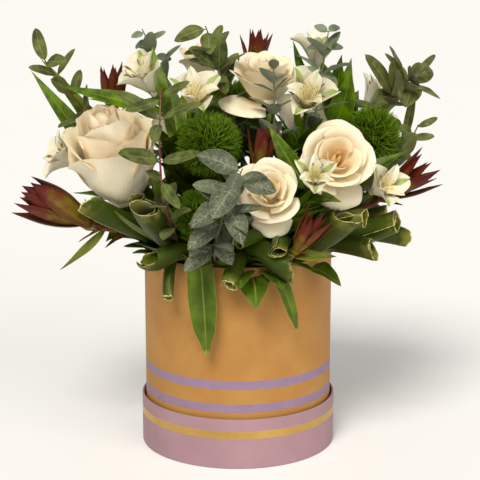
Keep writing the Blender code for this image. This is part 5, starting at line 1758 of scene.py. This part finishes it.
# %% Bunch table
# Each leaf's mouth or tip, how far it rises on the way, its half width, and whether it is rolled
# up, rolled up and lying along the rim, rolled up and hanging over it, flat, or flat and hanging.
ROLL, ALONG, DROP, BLADE, HANG = "roll", "along", "drop", "blade", "hang"
BUNCHES = {
    "rolled_leaves_centre": [
        ((54, -92, 124), 26, 6, HANG), ((52, -104, 179), 20, 12, ALONG),
        ((-7, -109, 165), 20, 6.5, DROP),
    ],
    "rolled_leaves_front_left": [
        ((-78, -104, 234), 14, 10.5, ROLL), ((-102, -72, 222), 14, 10, BLADE),
        ((-70, -77, 149), 24, 5, DROP),
    ],
    "rolled_leaves_front": [
        ((-26, -96, 104), 25, 13, HANG), ((-75, -90, 188), 16, 10, ALONG),
    ],
    "rolled_leaves_left": [
        ((-130, -60, 230), 10, 9, ROLL), ((-84, -86, 238), 16, 7.5, ROLL),
        ((-78, -56, 258), 14, 11, BLADE),
    ],
    "rolled_leaves_front_right": [
        ((80, -104, 224), 10, 11, ROLL), ((108, -84, 220), 10, 10, ROLL),
        ((8, -120, 190), 8, 7, ROLL), ((4, -116, 205), 8, 7, ROLL),
    ],
    "rolled_leaves_right": [
        ((116, -76, 188), 10, 9, ROLL), ((138, -52, 210), 10, 10, ROLL),
        ((145, -38, 190), 10, 9.5, ROLL),
    ],
    "rolled_leaves_side_right": [
        ((138, 6, 200), 12, 9, ROLL), ((130, 42, 194), 12, 9, ROLL),
        ((104, 80, 204), 12, 9.5, ROLL),
    ],
    "rolled_leaves_rear": [
        ((60, 112, 192), 12, 9.5, ROLL), ((12, 126, 202), 12, 9, ROLL),
        ((-40, 118, 190), 12, 9.5, ROLL),
    ],
    "rolled_leaves_side_left": [
        ((-88, 98, 200), 12, 9.5, ROLL), ((-126, 54, 194), 12, 9.5, ROLL),
        ((-138, 10, 196), 12, 9, ROLL),
    ],
}
print(sum(len(row) for row in BUNCHES.values()), "large leaves in", len(BUNCHES), "bunches")

# %% Ways and marks of large leaves
def large_leaf_ways(start, mouth, rise, kind):
    """Control points of a large leaf's ways: as drawn first, then swung, raised, pushed out."""
    outward = unit((mouth[0], mouth[1], 0))
    aside = np.cross(outward, UP)
    for push in (0, 5, 10, 16):
        for lift in (0, 6, -6, 12, 20):
            for swing in (0, -5, 5, -10, 10, -16, 16, -24, 24):
                for bow in (0, 8, 18):
                    end = mouth + outward * push + aside * swing + UP * lift
                    first = start + UP * (rise + bow) + outward * 4
                    if kind in (HANG, DROP):
                        beside = start + (end - start) * 0.5
                        second = beside * (BOX_RADIUS + 9) / math.hypot(beside[0], beside[1])
                        second[2] = RIM_HEIGHT + 12 + bow
                    elif kind == ALONG:
                        first = first + unit((start[0], start[1], 0)) * 24
                        beside = start + (end - start) * 0.55
                        second = beside * (BOX_RADIUS + 26) / math.hypot(beside[0], beside[1])
                        second[2] = RIM_HEIGHT
                    else:
                        second = start + (end - start) * 0.58
                        second[2] = RIM_HEIGHT + 6 + 0.25 * max(0, end[2] - RIM_HEIGHT) + bow
                    yield start, first, second, end


def roll_width(t):
    return 0.40 + 0.60 * np.sin(np.pi * (0.10 + 0.52 * t))


def roll_marks(controls, half_width):
    """Corners of the plain roll at three quarters of its length."""
    path = curve(controls, 5)
    _, side, lift = directions(path)
    turn = round_angles(5)[:, None]
    wide = half_width * roll_width(0.75)
    return path[3] + wide * (np.cos(turn) * side[3] + 0.66 * np.sin(turn) * lift[3])


def blade_frame(path):
    """Side and lift of a flat leaf at each point of its way."""
    ahead = directions(path)[0]
    sides = []
    for point, way in zip(path, ahead):
        outward = unit((point[0], point[1], 0))
        towards = UP if abs(way[2]) < 0.8 else outward * (-1 if way[2] > 0 else 1)
        sides.append(unit(np.cross(way, towards)))
    sides = np.array(sides)
    return sides, np.cross(sides, ahead)


def blade_width(path, t):
    """The half width of a flat leaf along its length; one that hangs is widest further down."""
    late = 3 if path[-1][2] < RIM_HEIGHT - 20 else 1
    return 0.30 + 0.70 * np.sin(np.pi * np.minimum(1, t ** late * 0.9 + 0.06))


def blade_marks(controls, half_width):
    path = curve(controls, 5)
    side, _ = blade_frame(path)
    half = half_width * blade_width(path, 0.75)
    return np.array((path[3] - side[3] * half, path[3] + side[3] * half, path[4]))


print("a roll's foot is", roll_width(0.0).round(2), "as wide as its widest part")

# %% Rolled leaves
def scroll(piece, controls, half_width, rng, rows=34, columns=56):
    """A leaf rolled to a spiral along its way, with a loose flap and a torn, slanting mouth."""
    path = curve(controls, rows)
    ahead, side, lift = directions(path)
    t, u = np.linspace(0, 1, rows)[:, None], np.linspace(0, 1, columns)[None]
    turns = rng.uniform(1.15, 1.5)
    handed = 1 if rng.random() < 0.5 else -1
    angle = handed * 2 * np.pi * turns * u + phase(rng)
    wide = half_width * roll_width(t) * (0.72 + 0.36 * u)
    wide = wide * (1 + 0.16 * t ** 2 * np.sin(2 * angle + phase(rng))
                   + 0.05 * np.sin(3 * angle + phase(rng) + 5 * t)
                   + 0.22 * t * np.clip(u * 7 - 6, 0, 1) ** 2)
    flat = 0.74 + 0.16 * rng.uniform(-1, 1) * t
    grid = path[:, None] + (wide * np.cos(angle))[..., None] * side[:, None] \
        + (flat * wide * np.sin(angle))[..., None] * lift[:, None]
    torn = sum(np.sin(u * f + phase(rng)) * s for f, s in ((9, 1.0), (31, 0.45), (63, 0.3)))
    slope = half_width * (rng.uniform(0.2, 0.7) * np.cos(angle - phase(rng)) - 0.25)
    grid = grid + ((torn - 1.0 + slope) * np.clip(t * 5 - 4, 0, 1))[..., None] * ahead[:, None]
    kinds = ((1, rng.random()), (0, rng.random()))
    piece.sheet(grid, 0.9, kinds[handed > 0], 1, kinds[handed < 0])


def flat_leaf(piece, controls, half_width, rng, rows=30, columns=11):
    path = curve(controls, rows)
    side, lift = blade_frame(path)
    t, v = grid_of(rows, columns)
    half = half_width * blade_width(path, t) * np.clip((1.0 - t) * 14, 0.22, 1) ** 0.6
    wave = np.sin(t * 9 + phase(rng)) * 0.05 * v
    fold = -0.22 + 0.22 * np.abs(v) * 1.4
    grid = path[:, None] + side[:, None] * (half * v)[..., None]
    grid = grid + lift[:, None] * (half * (fold + wave))[..., None]
    torn = np.sin(v * 9 + phase(rng)) * 1.2 + np.sin(v * 23) * 0.6 - 1.0
    ahead = directions(path)[0]
    grid = grid + ahead[:, None] * (torn * np.clip(t * 8 - 7, 0, 1))[..., None]
    piece.leaf(grid, rng, 2, 0.9)


def bunch(name, leaves, seed):
    rng, piece, node, cell = np.random.default_rng(seed + 50), Piece(), Corners(name), cell_of(name)
    piece.tube(from_foot(cell, np.linspace(cell, cell + UP * 7, 4)), 3.4, 10, (0, 0.5))
    for mouth, rise, half_width, kind in leaves:
        rolled = kind in (ROLL, ALONG, DROP)
        marks = roll_marks if rolled else blade_marks
        controls = node.best(large_leaf_ways(cell + UP * 5, np.array(mouth, float), rise, kind),
                             lambda way: marks(way, half_width), 0.8)
        if controls is None:
            print("no way found for a leaf of", name, "to", mouth)
        elif rolled:
            scroll(piece, controls, half_width, rng)
        else:
            flat_leaf(piece, controls, half_width, rng)
    piece.make(name + "_bunch", [green_stem, rolled_green, strap_leaf], name, "rolled_green")


grow(bunch, BUNCHES)

# %% [markdown]
# Between the scrolls, smaller leaves come out of the foam close to the rim and bow over it, so
# neither the rim nor the film shows. They are grown one by one round the box, like the leaves of
# the stems, and each joins the bunch that stands nearest.

# %% Leaves over the rim
# Leaves in a row, its start and span in degrees, then from least to most: the foot's distance
# from the middle, the rise over the rim, length and width; and last how far they droop.
RIM_ROWS = (
    (72, 0, 360, (60, 74), (0.25, 0.8), (34, 48), (16, 23), 0.45),
    (12, 212, 116, (70, 76), (0.6, 0.85), (30, 38), (23, 30), 0.55),
)


def rim_leaves():
    rng, found = np.random.default_rng(7), {}
    feet = {name: cell_of(name) for name in BUNCHES}
    for count, start, span, distance, rise, length, width, droop in RIM_ROWS:
        for k in range(count):
            turn = math.radians(start + span * (k + rng.uniform(-0.3, 0.3)) / count)
            out = level_way(turn)
            root = out * rng.uniform(*distance) + UP * FOAM_HEIGHT
            near = min(feet, key=lambda name: np.linalg.norm(feet[name] - root))
            away = unit(out + UP * rng.uniform(*rise))
            leaf = room.leaf(near, (near,), root, away, square_to(UP, away),
                             rng.uniform(*length), rng.uniform(*width), droop)
            if leaf is not None:
                found.setdefault(near, []).append((leaf, droop))
    for name, leaves in found.items():
        piece = Piece()
        for leaf, droop in leaves:
            grid = fine_leaf(leaf, rng, 0.04, 0.4, oval, stalk=0.05, droop=droop)
            piece.leaf(grid, rng, 0, 0.7)
        piece.make(name + "_rim_leaves", [strap_leaf], name, "rolled_green")
    print(sum(len(leaves) for leaves in found.values()), "leaves bow over the rim")


rim_leaves()

# %% [markdown]
# ## Floor, light and camera
#
# The arrangement stands on a plain pale floor that runs on to the horizon, so nothing competes
# with it. One wide soft light from the front and upper left shapes the petals, a weaker one from
# the right opens the shadows, and the pale surroundings fill in the rest. The gaps between the
# leaves stay dark, which is what gives a bunch of flowers its depth. Lights that are far away
# shine evenly, so the floor keeps one tone right to the top of the picture.

# %% Floor
FLOOR_RADIUS, FLOOR_SIDES = 30.0, 48
floor_mesh = bpy.data.meshes.new("floor")
rings = [0.35, 2.0, FLOOR_RADIUS]
points = [(0.0, 0.0, 0.0)]
points += [tuple(level_way(a) * r) for r in rings for a in round_angles(FLOOR_SIDES)]
neighbours = [(k, (k + 1) % FLOOR_SIDES) for k in range(FLOOR_SIDES)]
faces = [(0, 1 + k, 1 + after) for k, after in neighbours]
for ring in range(len(rings) - 1):
    a = 1 + FLOOR_SIDES * ring
    b = a + FLOOR_SIDES
    faces += [(a + k, b + k, b + after, a + after) for k, after in neighbours]
floor_mesh.from_pydata(points, [], faces)
floor = bpy.data.objects.new("floor", floor_mesh)
bpy.context.scene.collection.objects.link(floor)
pale_floor, tree, surface = new_finish("pale_floor", roughness=0.85, specular_ior_level=0.15)
feed(mottled(tree, (0.96, 0.96, 0.96, 1.0), 0.01, 900.0), surface.inputs["Base Color"])
floor_mesh.materials.append(pale_floor)
floor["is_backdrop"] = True
print("floor of", FLOOR_RADIUS, "m")

# %% Light
def soft_light(name, place, strength, spread, colour):
    """Even light from far away, in a direction given by a place, from a wide patch of sky."""
    lamp = bpy.data.lights.new(name, "SUN")
    lamp.energy, lamp.angle, lamp.color = strength, math.radians(spread), colour
    made = bpy.data.objects.new(name, lamp)
    made.rotation_euler = (-Vector(place)).to_track_quat("-Z", "Y").to_euler()
    bpy.context.scene.collection.objects.link(made)


soft_light("key", (-0.3, -1.0, 1.1), 2.45, 24, (1.0, 0.975, 0.90))
soft_light("fill", (0.8, -1.0, 0.5), 1.25, 50, (1.0, 0.97, 0.90))
world = bpy.data.worlds.new("surroundings")
world.use_nodes = True
sky = world.node_tree.nodes["Background"].inputs
sky["Color"].default_value, sky["Strength"].default_value = (1.0, 0.985, 0.95, 1.0), 0.34
bpy.context.scene.world = world
bpy.context.scene.view_settings.view_transform = "Standard"
print("two soft lights and pale surroundings")

# %% [markdown]
# The camera stands 1.3 m in front, a little above the flowers, and looks down by about 13
# degrees, which shows the box's rim and foot as the same flat ovals as in the photograph.

# %% Camera
LENS, SENSOR = 113.2, 36.0    # millimetres
LOOK_DOWN = 12.69             # degrees
camera_data = bpy.data.cameras.new("camera")
camera_data.lens, camera_data.sensor_width = LENS, SENSOR
camera = bpy.data.objects.new("camera", camera_data)
camera.location = (0.0018, -1.3, 0.474)
camera.rotation_euler = (math.radians(90 - LOOK_DOWN), 0, 0)
bpy.context.scene.collection.objects.link(camera)
bpy.context.scene.camera = camera
print("camera at", tuple(camera.location))

# %% Size and end
fine_box = [list(corner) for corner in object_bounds()]
print("fine pieces from", fine_box[0], "to", fine_box[1])
